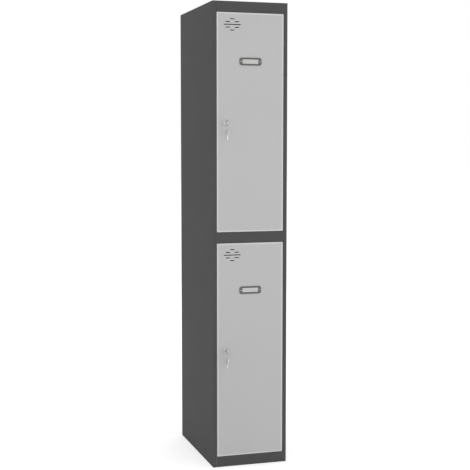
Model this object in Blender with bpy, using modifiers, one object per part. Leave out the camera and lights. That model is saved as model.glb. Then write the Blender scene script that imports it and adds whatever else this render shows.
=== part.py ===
"""A two-door steel locker: one column, two compartments, one lock and key to each door.

Metres, +Z up, doors facing -Y. The origin is on the floor, under the middle of the
space that the locker and its keys take up.
"""

import math

import bmesh
import bpy
from mathutils import Matrix, Vector

# Cabinet
HEIGHT = 1.800
WIDTH = 0.300
DEPTH = 0.500
RAIL_HEIGHT = 0.040
STILE_WIDTH = 0.014
SHEET = 0.0008
BEND_RADIUS = 0.0012
REAR_FLANGE = 0.014
STOP_LIP = 0.010
HINGE_STILE_LIP = 0.008
PAN_LIP = 0.018

# Room between pieces that touch, overrun of a cutter, and reach of a weld of vertices
FIT = 0.0003
OVERRUN = 0.002
MERGE = 0.00001

# Doors
DOOR_DEPTH = 0.018
DOOR_SHEET = 0.0008
DOOR_BEND = 0.0020
DOOR_GAP = 0.0015
DOOR_LIP = 0.012

# Stiffener, a hat section down the inside of each door
HAT_BASE = 0.044
HAT_TOP = 0.032
HAT_DEPTH = 0.013
HAT_BEND = 0.0010
HAT_END_ROOM = 0.020
HAT_SIDE_ROOM = 0.00265

# Ventilation slots, in rows of 1, 2, 1 long, 2 and 1
SLOT_LENGTH = 0.018
LONG_SLOT_LENGTH = 0.068
SLOT_HEIGHT = 0.0034
SLOT_ROW_PITCH = 0.0106
SLOT_SPREAD = 0.018
VENT_INSET = 0.062
VENT_DROP = 0.046

# Pivot hinges
PIN_RADIUS = 0.0025
PIN_HEAD_RADIUS = 0.0045
PIN_HEAD = 0.0020
PIN_REACH = 0.007
BUSH_WALL = 0.0012
BUSH_FLANGE = 0.0015
BUSH_TAIL = 0.0015
BUSH_EDGE = 0.0010
PIVOT_INSET = 0.014

# Rubber buffers on the stop lip
BUFFER_RADIUS = 0.0038
BUFFER_HEAD = 0.0014
BUFFER_STEM = 0.0017
BUFFER_BULGE = 0.0026
BUFFER_TAIL = 0.0022
BUFFER_INSET = 0.060

# Card holder
HOLDER_WIDTH = 0.088
HOLDER_HEIGHT = 0.0295
HOLDER_DEPTH = 0.0022
HOLDER_CORNER = 0.009
HOLDER_EDGE = 0.0005
HOLDER_DROP = 0.1845
WINDOW_WIDTH = 0.064
WINDOW_HEIGHT = 0.0165
WINDOW_CORNER = 0.0015
CARD_MARGIN = 0.0012
CARD_THICKNESS = 0.0005
CARD_ROOM = 0.0003

# Rivets of the card holder
RIVET_RADIUS = 0.0012
RIVET_HEAD_RADIUS = 0.0024
RIVET_HEAD = 0.0008
RIVET_TAIL_RADIUS = 0.0021
RIVET_TAIL = 0.0016

# Cam lock
LOCK_INSET = 0.035
BEZEL_RADIUS = 0.0100
BEZEL = 0.0030
BEZEL_EDGE = 0.0009
BARREL_RADIUS = 0.0080
BARREL_FLATS = 0.0142
PLUG_RADIUS = 0.0055
PLUG_HEAD_RADIUS = 0.0068
PLUG_HEAD = 0.0014
PLUG_PROUD = 0.0002
PLUG_WEB = 0.0020
LOCK_NUT_FLATS = 0.0220
LOCK_NUT = 0.0050
TANG = 0.0068
CAM_CLEARANCE = 0.0008
CAM_THICKNESS = 0.0020
CAM_HUB_RADIUS = 0.0080
CAM_WIDTH = 0.0130
CAM_REACH = 0.034
SCREW_RADIUS = 0.0017
SCREW_LENGTH = 0.0070
SCREW_HEAD_RADIUS = 0.0043
SCREW_HEAD = 0.0022

# Keys and their ring
KEY_THICKNESS = 0.0020
KEY_BOW_RADIUS = 0.0110
KEY_HOLE_RADIUS = 0.0030
KEY_HOLE_EDGE = 0.0062
KEY_NECK = 0.0035
KEY_NECK_WIDTH = 0.0100
BLADE_WIDTH = 0.0064
BLADE_CUT = 0.0011
RING_RADIUS = 0.0135
RING_WIRE_RADIUS = 0.0009

# Double coat hook under each compartment's ceiling
HOOK_PLATE_LENGTH = 0.044
HOOK_PLATE_WIDTH = 0.018
HOOK_PLATE = 0.0015
HOOK_THICKNESS = 0.0030
HOOK_BAR = 0.0090
HOOK_DROP = 0.028
HOOK_INSIDE_RADIUS = 0.010

# Counts, angles in degrees, and shares
PAN_NAMES = ("base_panel", "middle_shelf", "roof_panel")
TIER_NAMES = ("lower", "upper")
BLADE_CUTS = 5
BLADE_CUT_SHARES = (0.6, 1.0, 0.4, 0.8, 0.5)
BLADE_FLAT_SHARE = 0.25
TIP_SHARE = 0.45
BUFFER_NOSE_SHARE = 0.8
BUFFER_EDGE_SHARE = 0.7
RIVET_NOSE_SHARE = 0.5
RIVET_EDGE_SHARE = 0.35
SCREW_NOSE_SHARE = 0.6
SCREW_EDGE_SHARE = 0.5
BEND_STEPS = 2
ROUND_STEPS = 32
SMALL_STEPS = 16
BUFFER_STEPS = 12
ARC_STEPS = 6
EDGE_STEPS = 3
NUT_SIDES = 6
BEND_ANGLE = 20
SHARP_ANGLE = 30
FACE_WEIGHT = 100

# Places that follow from the sizes above
BEND_INSIDE = BEND_RADIUS - SHEET
CORNER_ROOM = FIT + BEND_INSIDE * (1 - math.sqrt(0.5))
TIER_HEIGHT = (HEIGHT - len(PAN_NAMES) * RAIL_HEIGHT) / len(TIER_NAMES)
TIER_PITCH = TIER_HEIGHT + RAIL_HEIGHT
DOOR_WIDTH = WIDTH - 2 * (STILE_WIDTH + DOOR_GAP)
DOOR_HEIGHT = TIER_HEIGHT - 2 * DOOR_GAP
STOP = DOOR_DEPTH + FIT + BUFFER_HEAD + FIT
BACK_INSIDE = DEPTH - 2 * SHEET - CORNER_ROOM
PAN_WIDTH = WIDTH - 2 * (SHEET + FIT)
PAN_DEPTH = BACK_INSIDE - FIT
BUSH_BORE = PIN_RADIUS + FIT
BUSH_RADIUS = BUSH_BORE + BUSH_WALL
PIVOT_DEPTH = BEND_RADIUS + BUSH_EDGE + BUSH_RADIUS + FIT
PIVOT_X = DOOR_WIDTH / 2 - PIVOT_INSET
LATCH_EDGE_X = -DOOR_WIDTH / 2
LOCK_X = LATCH_EDGE_X + LOCK_INSET
CAM_FRONT = STOP + SHEET + CAM_CLEARANCE
BARREL_END = CAM_FRONT - FIT
CAM_BACK = CAM_FRONT + CAM_THICKNESS
PLUG_FACE = -(FIT + BEZEL + PLUG_PROUD)
SCREW_HOLE_END = CAM_BACK - SCREW_LENGTH - FIT
BLADE_LENGTH = SCREW_HOLE_END - PLUG_WEB - PLUG_FACE
KEY_HOLE_OUT = FIT - PLUG_FACE + KEY_NECK + 2 * KEY_BOW_RADIUS - KEY_HOLE_EDGE
HANG = KEY_HOLE_RADIUS - RING_WIRE_RADIUS - FIT
KEY_PROUD = KEY_HOLE_OUT + KEY_BOW_RADIUS
FRONT = (KEY_PROUD - DEPTH) / 2
POCKET_WIDTH = WINDOW_WIDTH + 2 * (CARD_MARGIN + CARD_ROOM)
RIVET_X = (POCKET_WIDTH + HOLDER_WIDTH) / 4
HAT_WIDTH = 2 * (RIVET_X - RIVET_TAIL_RADIUS - HAT_SIDE_ROOM)
ROOF_SEAT = HEIGHT - SHEET + FIT / 2
STILE_TOP = ROOF_SEAT - FIT

# Colours as linear values, with roughness and metallic
FINISHES = {
    "carcass_grey": ((0.091, 0.091, 0.092), 0.50, 0.0),
    "door_grey": ((0.500, 0.500, 0.500), 0.48, 0.0),
    "holder_grey": ((0.095, 0.095, 0.097), 0.45, 0.0),
    "card_white": ((0.620, 0.620, 0.610), 0.80, 0.0),
    "nickel": ((0.560, 0.550, 0.530), 0.25, 1.0),
    "zinc": ((0.520, 0.530, 0.540), 0.38, 1.0),
    "black_rubber": ((0.020, 0.020, 0.020), 0.80, 0.0),
    "black_nylon": ((0.025, 0.025, 0.026), 0.50, 0.0),
}

PIVOT_PLACES = {}


def clear_scene():
    """Removes every object of the scene that the script finds."""
    for found in list(bpy.data.objects):
        bpy.data.objects.remove(found)


def make_collection(name):
    """A new collection in the scene."""
    collection = bpy.data.collections.new(name)
    bpy.context.scene.collection.children.link(collection)
    return collection


def make_materials():
    """One material for each finish, by name."""
    materials = {}
    for name, (colour, roughness, metallic) in FINISHES.items():
        material = bpy.data.materials.new(name)
        material.use_nodes = True
        shader = material.node_tree.nodes["Principled BSDF"]
        shader.inputs["Base Color"].default_value = (*colour, 1)
        shader.inputs["Roughness"].default_value = roughness
        shader.inputs["Metallic"].default_value = metallic
        materials[name] = material
    return materials


def make_pivot(name, place, parent=None):
    """An empty on a joint's axis, or at a fixed group's origin, at a place in the scene."""
    pivot = bpy.data.objects.new(name, None)
    pivot.empty_display_size = STILE_WIDTH
    PARTS.objects.link(pivot)
    PIVOT_PLACES[pivot.name] = Vector(place)
    pivot.parent = parent
    pivot.location = Vector(place) - (PIVOT_PLACES[parent.name] if parent else Vector())
    return pivot


def put(thing, pivot, place, turn=(0, 0, 0)):
    """Hangs an object on a pivot, at a place in the scene, turned by three angles."""
    thing.parent = pivot
    thing.location = Vector(place) - PIVOT_PLACES[pivot.name]
    thing.rotation_euler = turn


def make_piece(name, mesh, finish, pivot, place, turn=(0, 0, 0)):
    """A named sub-part made of a mesh, with its own finish, hung on a pivot."""
    piece = bpy.data.objects.new(name, mesh)
    PARTS.objects.link(piece)
    if not mesh.materials:
        mesh.materials.append(MATERIALS[finish])
    put(piece, pivot, place, turn)
    return piece


def make_cutter(name, mesh, pivot, place, turn=(0, 0, 0)):
    """A body that only cuts others."""
    cutter = bpy.data.objects.new(name, mesh)
    CUTTERS.objects.link(cutter)
    cutter.hide_render = True
    cutter.display_type = "WIRE"
    put(cutter, pivot, place, turn)
    return cutter


def combine(piece, other, operation):
    """Adds a Boolean of a piece with another body."""
    boolean = piece.modifiers.new(operation.lower(), "BOOLEAN")
    boolean.operation = operation
    boolean.object = other
    boolean.solver = "EXACT"


def mesh_from(bm, name):
    """Turns a bmesh into a mesh, and frees it."""
    mesh = bpy.data.meshes.new(name)
    bm.to_mesh(mesh)
    bm.free()
    return mesh


def box_mesh(name, low, high):
    """A box between two corners."""
    bm = bmesh.new()
    bmesh.ops.create_cube(bm, size=1)
    size = Vector(high) - Vector(low)
    middle = (Vector(high) + Vector(low)) / 2
    bmesh.ops.scale(bm, vec=size, verts=bm.verts)
    bmesh.ops.translate(bm, vec=middle, verts=bm.verts)
    return mesh_from(bm, name)


def rod_mesh(name, radius, low, high, steps):
    """A solid cylinder about Z, from one height to another."""
    bm = bmesh.new()
    bmesh.ops.create_cone(
        bm, cap_ends=True, segments=steps, radius1=radius, radius2=radius, depth=high - low
    )
    bmesh.ops.translate(bm, vec=(0, 0, (low + high) / 2), verts=bm.verts)
    return mesh_from(bm, name)


def profile_mesh(name, points, closed):
    """A profile of (radius, height) points in the XZ plane, for a Screw modifier."""
    bm = bmesh.new()
    corners = [bm.verts.new((radius, 0, height)) for radius, height in points]
    for first, second in zip(corners, corners[1:]):
        bm.edges.new((first, second))
    if closed:
        bm.edges.new((corners[-1], corners[0]))
    return mesh_from(bm, name)


def turn_profile(piece, steps):
    """Turns a profile round the piece's own Z axis."""
    screw = piece.modifiers.new("turned", "SCREW")
    screw.steps = steps
    screw.render_steps = steps
    screw.use_merge_vertices = True
    screw.merge_threshold = MERGE
    screw.use_smooth_shade = True


def outline_mesh(name, loops, thickness, chamfer=0):
    """A flat plate about the XY plane, from closed outlines of (x, y) points."""
    curve = bpy.data.curves.new(name, "CURVE")
    curve.dimensions = "2D"
    curve.fill_mode = "BOTH"
    curve.extrude = thickness / 2 - chamfer
    curve.bevel_depth = chamfer
    curve.bevel_resolution = 0
    curve.offset = -chamfer
    for loop in loops:
        spline = curve.splines.new("POLY")
        spline.points.add(len(loop) - 1)
        for point, (x, y) in zip(spline.points, loop):
            point.co = (x, y, 0, 1)
        spline.use_cyclic_u = True
    guide = bpy.data.objects.new(name, curve)
    CUTTERS.objects.link(guide)
    bpy.context.view_layer.update()
    evaluated = guide.evaluated_get(bpy.context.evaluated_depsgraph_get())
    mesh = bpy.data.meshes.new_from_object(evaluated)
    bpy.data.objects.remove(guide)
    bm = bmesh.new()
    bm.from_mesh(mesh)
    bmesh.ops.remove_doubles(bm, verts=bm.verts, dist=MERGE)
    bmesh.ops.recalc_face_normals(bm, faces=bm.faces)
    bm.to_mesh(mesh)
    bm.free()
    mesh.name = name
    return mesh


def arc(centre, radius, start, end, steps):
    """Points along an arc, from one angle in degrees to another, both ends included."""
    points = []
    for step in range(steps + 1):
        angle = math.radians(start + (end - start) * step / steps)
        points.append((centre[0] + radius * math.cos(angle), centre[1] + radius * math.sin(angle)))
    return points


def rounded_rectangle(width, height, corner, steps):
    """A rectangle about the origin with round corners."""
    points = []
    for quarter, (side, level) in enumerate(((1, 1), (-1, 1), (-1, -1), (1, -1))):
        centre = (side * (width / 2 - corner), level * (height / 2 - corner))
        points += arc(centre, corner, 90 * quarter, 90 * quarter + 90, steps)
    return points


def slot_outline(centre, length, height):
    """A slot with round ends."""
    reach = (length - height) / 2
    right = arc((centre[0] + reach, centre[1]), height / 2, -90, 90, ARC_STEPS)
    left = arc((centre[0] - reach, centre[1]), height / 2, 90, 270, ARC_STEPS)
    return right + left


def strip_mesh(name, points, length, outward):
    """The outer surface of a folded sheet: corners in plan, drawn up along Z.

    outward says which way the first stretch faces.
    """
    bm = bmesh.new()
    corners = [bm.verts.new((x, y, 0)) for x, y in points]
    edges = [bm.edges.new(pair) for pair in zip(corners, corners[1:])]
    drawn = bmesh.ops.extrude_edge_only(bm, edges=edges)
    raised = [part for part in drawn["geom"] if isinstance(part, bmesh.types.BMVert)]
    bmesh.ops.translate(bm, vec=(0, 0, length), verts=raised)
    bm.normal_update()
    middle = (Vector(points[0]) + Vector(points[1])) / 2
    first = min(bm.faces, key=lambda face: (face.calc_center_median().xy - middle).length)
    if first.normal.dot(Vector(outward)) < 0:
        bmesh.ops.reverse_faces(bm, faces=bm.faces)
    return mesh_from(bm, name)


def pan_mesh(name, width, depth, height, lip):
    """The outer surface of a folded pan: face up at z = 0, skirts, and lips turned in."""
    bm = bmesh.new()
    bmesh.ops.create_cube(bm, size=1)
    bmesh.ops.scale(bm, vec=(width, depth, height), verts=bm.verts)
    bmesh.ops.translate(bm, vec=(0, 0, -height / 2), verts=bm.verts)
    bm.normal_update()
    bottom = min(bm.faces, key=lambda face: face.calc_center_median().z)
    bmesh.ops.inset_region(bm, faces=[bottom], thickness=lip, use_even_offset=True)
    bmesh.ops.delete(bm, geom=[bottom], context="FACES")
    return mesh_from(bm, name)


def fold(piece, radius, thickness):
    """Rounds the bends of a surface, and gives the sheet its thickness."""
    bend = piece.modifiers.new("bends", "BEVEL")
    bend.width = radius
    bend.segments = BEND_STEPS
    bend.limit_method = "ANGLE"
    bend.angle_limit = math.radians(BEND_ANGLE)
    bend.use_clamp_overlap = True
    sheet = piece.modifiers.new("sheet", "SOLIDIFY")
    sheet.thickness = thickness
    sheet.offset = -1
    sheet.use_even_offset = True
    sheet.use_quality_normals = True


def smooth(piece):
    """Shades a piece smooth, except across its sharp edges."""
    piece.data.shade_smooth()
    piece.data.set_sharp_from_angle(angle=math.radians(SHARP_ANGLE))


def shade_sheets():
    """Shades folded sheets flat on their faces and smooth round their bends."""
    for piece in PARTS.objects:
        if "sheet" in piece.modifiers:
            piece.data.shade_smooth()
            shading = piece.modifiers.new("shading", "WEIGHTED_NORMAL")
            shading.weight = FACE_WEIGHT


def make_side_panels():
    """The two sides, each one sheet with a rear flange, a front stile and its folds."""
    for side in (-1, 1):
        name = "left_side_panel" if side < 0 else "right_side_panel"
        lip = STOP_LIP if side < 0 else HINGE_STILE_LIP
        outer = side * WIDTH / 2
        rear = side * (WIDTH / 2 - REAR_FLANGE)
        stile = side * (WIDTH / 2 - STILE_WIDTH)
        points = [
            (rear, DEPTH),
            (outer, DEPTH),
            (outer, 0),
            (stile, 0),
            (stile, STOP),
            (stile + lip, STOP),
        ]
        mesh = strip_mesh(name, points, HEIGHT, (0, 1, 0))
        panel = make_piece(name, mesh, "carcass_grey", CABINET, (0, FRONT, 0))
        fold(panel, BEND_RADIUS, SHEET)
        cut_stile_top(panel, side)
        if side < 0:
            trim_stop_lip(panel, stile)


def cut_stile_top(panel, side):
    """Ends a stile under the roof, whose front corners cover it."""
    inner = side * (WIDTH / 2 - STILE_WIDTH - OVERRUN)
    if side < 0:
        inner += STOP_LIP + OVERRUN
    outer = side * (PAN_WIDTH / 2 + FIT / 2)
    low = (min(inner, outer), FRONT - OVERRUN, STILE_TOP)
    high = (max(inner, outer), FRONT + STOP + SHEET + FIT, HEIGHT + OVERRUN)
    name = f"{panel.name}_top_cut"
    mesh = box_mesh("stile_top", low, high)
    combine(panel, make_cutter(name, mesh, CABINET, (0, 0, 0)), "DIFFERENCE")


def trim_stop_lip(panel, stile):
    """Takes the stop lip away behind the three rails, where the pans fill its place."""
    for level in range(len(PAN_NAMES)):
        bottom = level * TIER_PITCH - FIT
        top = level * TIER_PITCH + RAIL_HEIGHT + FIT
        low = (stile - SHEET - OVERRUN, FRONT + STOP - BEND_RADIUS - FIT, bottom)
        high = (stile + STOP_LIP + OVERRUN, FRONT + STOP + SHEET + OVERRUN, top)
        mesh = box_mesh("stop_lip_cut", low, high)
        combine(panel, make_cutter(f"stop_lip_cut_{level}", mesh, CABINET, (0, 0, 0)), "DIFFERENCE")


def make_back_panel():
    """The flat back sheet, held between the sides and against their rear flanges."""
    half = WIDTH / 2 - SHEET - CORNER_ROOM
    low = (-half, FRONT + BACK_INSIDE, 0)
    high = (half, FRONT + BACK_INSIDE + SHEET, HEIGHT)
    mesh = box_mesh("back_panel", low, high)
    make_piece("back_panel", mesh, "carcass_grey", CABINET, (0, 0, 0))


def make_pans():
    """The base, the middle shelf and the roof: three like pans, whose fronts are the rails."""
    for level, name in enumerate(PAN_NAMES):
        top = level * TIER_PITCH + RAIL_HEIGHT
        mesh = pan_mesh(name, PAN_WIDTH, PAN_DEPTH, RAIL_HEIGHT, PAN_LIP)
        place = (0, FRONT + PAN_DEPTH / 2, top)
        pan = make_piece(name, mesh, "carcass_grey", CABINET, place)
        fold(pan, BEND_RADIUS, SHEET)
        notch_for_stiles(pan, top)
        if level < len(TIER_NAMES):
            drill_bush_hole(pan, f"{name}_top", top)
        if level > 0:
            drill_bush_hole(pan, f"{name}_bottom", top - RAIL_HEIGHT)


def notch_for_stiles(pan, top):
    """Cuts a pan's two front corners away, where the stiles stand, up to the roof's top sheet."""
    ceiling = ROOF_SEAT if pan.name == "roof_panel" else top + OVERRUN
    for side in (-1, 1):
        inner = side * (WIDTH / 2 - STILE_WIDTH - FIT)
        outer = side * (WIDTH / 2 + OVERRUN)
        low = (min(inner, outer), FRONT - OVERRUN, top - RAIL_HEIGHT - OVERRUN)
        high = (max(inner, outer), FRONT + STOP + SHEET + FIT, ceiling)
        mesh = box_mesh("stile_notch", low, high)
        name = f"{pan.name}_notch_{'left' if side < 0 else 'right'}"
        combine(pan, make_cutter(name, mesh, CABINET, (0, 0, 0)), "DIFFERENCE")


def drill_bush_hole(pan, name, level):
    """Drills a pan for a hinge bush."""
    reach = SHEET + OVERRUN
    mesh = rod_mesh("bush_hole", BUSH_RADIUS + FIT, -reach, reach, SMALL_STEPS)
    place = (PIVOT_X, FRONT + PIVOT_DEPTH, level)
    combine(pan, make_cutter(f"{name}_bush_hole", mesh, CABINET, place), "DIFFERENCE")


def make_coat_hook(tier, floor):
    """A double hook cut from plate, on a foot that is welded under the ceiling."""
    ceiling = floor + TIER_HEIGHT + RAIL_HEIGHT - SHEET - FIT
    bar = HOOK_BAR
    bend = (-(bar / 2 + HOOK_INSIDE_RADIUS), -HOOK_DROP)
    tip = (bend[0] - HOOK_INSIDE_RADIUS - bar / 2, -HOOK_DROP)
    outer = HOOK_INSIDE_RADIUS + bar
    meeting = math.degrees(math.acos(-bend[0] / outer))
    left = [(-bar / 2, -HOOK_PLATE / 2)]
    left += arc(bend, HOOK_INSIDE_RADIUS, 0, -180, ARC_STEPS)
    left += arc(tip, bar / 2, 0, 180, ARC_STEPS)
    left += arc(bend, outer, -180, -meeting, 2 * ARC_STEPS)[1:]
    right = [(-x, y) for x, y in reversed(left[:-1])]
    name = f"{tier}_coat_hook"
    mesh = outline_mesh(name, [left + right], HOOK_THICKNESS)
    place = (0, FRONT + DEPTH / 2, ceiling)
    hook = make_piece(name, mesh, "zinc", CABINET, place, (math.radians(90), 0, 0))
    half_length = HOOK_PLATE_LENGTH / 2
    half_width = HOOK_PLATE_WIDTH / 2
    foot = box_mesh("foot", (-half_length, -half_width, -HOOK_PLATE), (half_length, half_width, 0))
    combine(hook, make_cutter(f"{name}_foot", foot, CABINET, place), "UNION")
    smooth(hook)


def make_hinge(tier, floor, door_pivot):
    """The pivot pins of a door, and the bushes that they turn in."""
    for end, rail, way in (("bottom", floor, 1), ("top", floor + TIER_HEIGHT, -1)):
        turn = (0, 0, 0) if way > 0 else (math.radians(180), 0, 0)
        flange = DOOR_GAP - FIT
        bush = [
            (BUSH_BORE, flange),
            (BUSH_RADIUS + BUSH_FLANGE, flange),
            (BUSH_RADIUS + BUSH_FLANGE, FIT),
            (BUSH_RADIUS, FIT),
            (BUSH_RADIUS, -SHEET - BUSH_TAIL),
            (BUSH_BORE, -SHEET - BUSH_TAIL),
        ]
        place = (PIVOT_X, FRONT + PIVOT_DEPTH, rail)
        name = f"{tier}_{end}_hinge_bush"
        piece = make_piece(name, profile_mesh(name, bush, True), "black_nylon", CABINET, place, turn)
        turn_profile(piece, SMALL_STEPS)
        under = DOOR_GAP + DOOR_SHEET + FIT
        pin = [
            (0, under + PIN_HEAD),
            (PIN_HEAD_RADIUS, under + PIN_HEAD),
            (PIN_HEAD_RADIUS, under),
            (PIN_RADIUS, under),
            (PIN_RADIUS, -PIN_REACH),
            (0, -PIN_REACH),
        ]
        name = f"{tier}_{end}_hinge_pin"
        piece = make_piece(name, profile_mesh(name, pin, False), "zinc", door_pivot, place, turn)
        turn_profile(piece, SMALL_STEPS)


def make_buffers(tier, floor):
    """Rubber buffers pushed into the stop lip, where the door's free edge comes to rest."""
    lip_x = -WIDTH / 2 + STILE_WIDTH + BEND_RADIUS + (STOP_LIP - BEND_RADIUS) / 2
    profile = [
        (0, BUFFER_HEAD + FIT),
        (BUFFER_RADIUS * BUFFER_NOSE_SHARE, BUFFER_HEAD + FIT),
        (BUFFER_RADIUS, BUFFER_HEAD * BUFFER_EDGE_SHARE + FIT),
        (BUFFER_RADIUS, FIT),
        (BUFFER_STEM, FIT),
        (BUFFER_STEM, -SHEET - FIT),
        (BUFFER_BULGE, -SHEET - FIT),
        (BUFFER_STEM, -SHEET - BUFFER_TAIL),
        (0, -SHEET - BUFFER_TAIL),
    ]
    panel = bpy.data.objects["left_side_panel"]
    levels = {"bottom": floor + BUFFER_INSET, "top": floor + TIER_HEIGHT - BUFFER_INSET}
    for end, level in levels.items():
        place = (lip_x, FRONT + STOP, level)
        turn = (math.radians(90), 0, 0)
        name = f"{tier}_{end}_buffer"
        mesh = profile_mesh(name, profile, False)
        piece = make_piece(name, mesh, "black_rubber", CABINET, place, turn)
        turn_profile(piece, BUFFER_STEPS)
        reach = SHEET + OVERRUN
        hole = rod_mesh("buffer_hole", BUFFER_STEM + FIT, -reach, reach, BUFFER_STEPS)
        combine(panel, make_cutter(f"{name}_hole", hole, CABINET, place, turn), "DIFFERENCE")


def make_door(tier, floor, pivot):
    """A door: a folded pan with its face to the front, and a stiffener down its inside."""
    name = f"{tier}_door"
    mesh = pan_mesh(name, DOOR_WIDTH, DOOR_HEIGHT, DOOR_DEPTH, DOOR_LIP)
    middle = floor + TIER_HEIGHT / 2
    place = (0, FRONT, middle)
    door = make_piece(name, mesh, "door_grey", pivot, place, (math.radians(90), 0, 0))
    fold(door, DOOR_BEND, DOOR_SHEET)
    cut_vent_slots(door, tier, pivot, floor)
    cut_pin_holes(door, tier, pivot, floor)
    side = [
        (HAT_WIDTH / 2, DOOR_SHEET + FIT),
        (HAT_BASE / 2, DOOR_SHEET + FIT),
        (HAT_TOP / 2, DOOR_SHEET + FIT + HAT_DEPTH),
    ]
    points = [(-x, y) for x, y in side] + side[::-1]
    length = DOOR_HEIGHT - 2 * HAT_END_ROOM
    name = f"{tier}_door_stiffener"
    mesh = strip_mesh(name, points, length, (0, -1, 0))
    place = (0, FRONT, middle - length / 2)
    stiffener = make_piece(name, mesh, "door_grey", pivot, place)
    fold(stiffener, HAT_BEND, DOOR_SHEET)
    return door


def cut_vent_slots(door, tier, pivot, floor):
    """Seven slots near the top of the free edge, the middle one long."""
    x = LATCH_EDGE_X + VENT_INSET
    z = floor + TIER_HEIGHT - DOOR_GAP - VENT_DROP
    loops = [slot_outline((0, 0), LONG_SLOT_LENGTH, SLOT_HEIGHT)]
    for way in (-1, 1):
        loops.append(slot_outline((0, way * 2 * SLOT_ROW_PITCH), SLOT_LENGTH, SLOT_HEIGHT))
        for side in (-1, 1):
            centre = (side * SLOT_SPREAD, way * SLOT_ROW_PITCH)
            loops.append(slot_outline(centre, SLOT_LENGTH, SLOT_HEIGHT))
    mesh = outline_mesh("vent_slots", loops, 2 * (DOOR_SHEET + OVERRUN))
    turn = (math.radians(90), 0, 0)
    combine(door, make_cutter(f"{tier}_vent_slots", mesh, pivot, (x, FRONT, z), turn), "DIFFERENCE")


def cut_pin_holes(door, tier, pivot, floor):
    """Holes in the door's two ends for its pivot pins."""
    reach = DOOR_SHEET + OVERRUN
    for end, level in (("bottom", floor + DOOR_GAP), ("top", floor + TIER_HEIGHT - DOOR_GAP)):
        mesh = rod_mesh("pin_hole", PIN_RADIUS + FIT, -reach, reach, SMALL_STEPS)
        place = (PIVOT_X, FRONT + PIVOT_DEPTH, level)
        combine(door, make_cutter(f"{tier}_{end}_pin_hole", mesh, pivot, place), "DIFFERENCE")


def make_card_holder(tier, floor, pivot, door):
    """A card in its holder, open at the top, riveted to the door."""
    level = floor + TIER_HEIGHT - DOOR_GAP - HOLDER_DROP
    turn = (math.radians(90), 0, 0)
    name = f"{tier}_card_holder"
    outer = rounded_rectangle(HOLDER_WIDTH, HOLDER_HEIGHT, HOLDER_CORNER, ARC_STEPS)
    window = rounded_rectangle(WINDOW_WIDTH, WINDOW_HEIGHT, WINDOW_CORNER, BEND_STEPS)
    mesh = outline_mesh(name, [outer, window], HOLDER_DEPTH, HOLDER_EDGE)
    place = (0, FRONT - FIT - HOLDER_DEPTH / 2, level)
    holder = make_piece(name, mesh, "holder_grey", pivot, place, turn)
    pocket_bottom = level - WINDOW_HEIGHT / 2 - CARD_MARGIN - CARD_ROOM
    pocket_front = FRONT - 2 * CARD_ROOM - CARD_THICKNESS
    low = (-POCKET_WIDTH / 2, pocket_front, pocket_bottom)
    high = (POCKET_WIDTH / 2, FRONT + OVERRUN, level + HOLDER_HEIGHT / 2 + OVERRUN)
    pocket = box_mesh("card_pocket", low, high)
    combine(holder, make_cutter(f"{name}_pocket", pocket, pivot, (0, 0, 0)), "DIFFERENCE")
    low = (-WINDOW_WIDTH / 2 - CARD_MARGIN, pocket_front + CARD_ROOM, pocket_bottom + CARD_ROOM)
    top = level + WINDOW_HEIGHT / 2 + CARD_MARGIN
    high = (WINDOW_WIDTH / 2 + CARD_MARGIN, FRONT - CARD_ROOM, top)
    make_piece(f"{tier}_card", box_mesh("card", low, high), "card_white", pivot, (0, 0, 0))
    for side in (-1, 1):
        make_holder_rivet(tier, side, level, pivot, holder, door)


def make_holder_rivet(tier, side, level, pivot, holder, door):
    """A blind rivet through the card holder and the door, with its holes."""
    outside = HOLDER_DEPTH + 2 * FIT
    inside = -DOOR_SHEET - FIT
    profile = [
        (0, outside + RIVET_HEAD),
        (RIVET_HEAD_RADIUS * RIVET_NOSE_SHARE, outside + RIVET_HEAD),
        (RIVET_HEAD_RADIUS, outside + RIVET_HEAD * RIVET_EDGE_SHARE),
        (RIVET_HEAD_RADIUS, outside),
        (RIVET_RADIUS, outside),
        (RIVET_RADIUS, inside),
        (RIVET_TAIL_RADIUS, inside),
        (RIVET_TAIL_RADIUS, inside - RIVET_TAIL),
        (0, inside - RIVET_TAIL),
    ]
    name = f"{tier}_holder_rivet_{'left' if side < 0 else 'right'}"
    place = (side * RIVET_X, FRONT, level)
    turn = (math.radians(90), 0, 0)
    rivet = make_piece(name, profile_mesh(name, profile, False), "zinc", pivot, place, turn)
    turn_profile(rivet, SMALL_STEPS)
    reach = HOLDER_DEPTH + OVERRUN
    hole = rod_mesh("rivet_hole", RIVET_RADIUS + FIT, -reach, reach, SMALL_STEPS)
    cutter = make_cutter(f"{name}_hole", hole, pivot, place, turn)
    combine(holder, cutter, "DIFFERENCE")
    combine(door, cutter, "DIFFERENCE")


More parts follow.
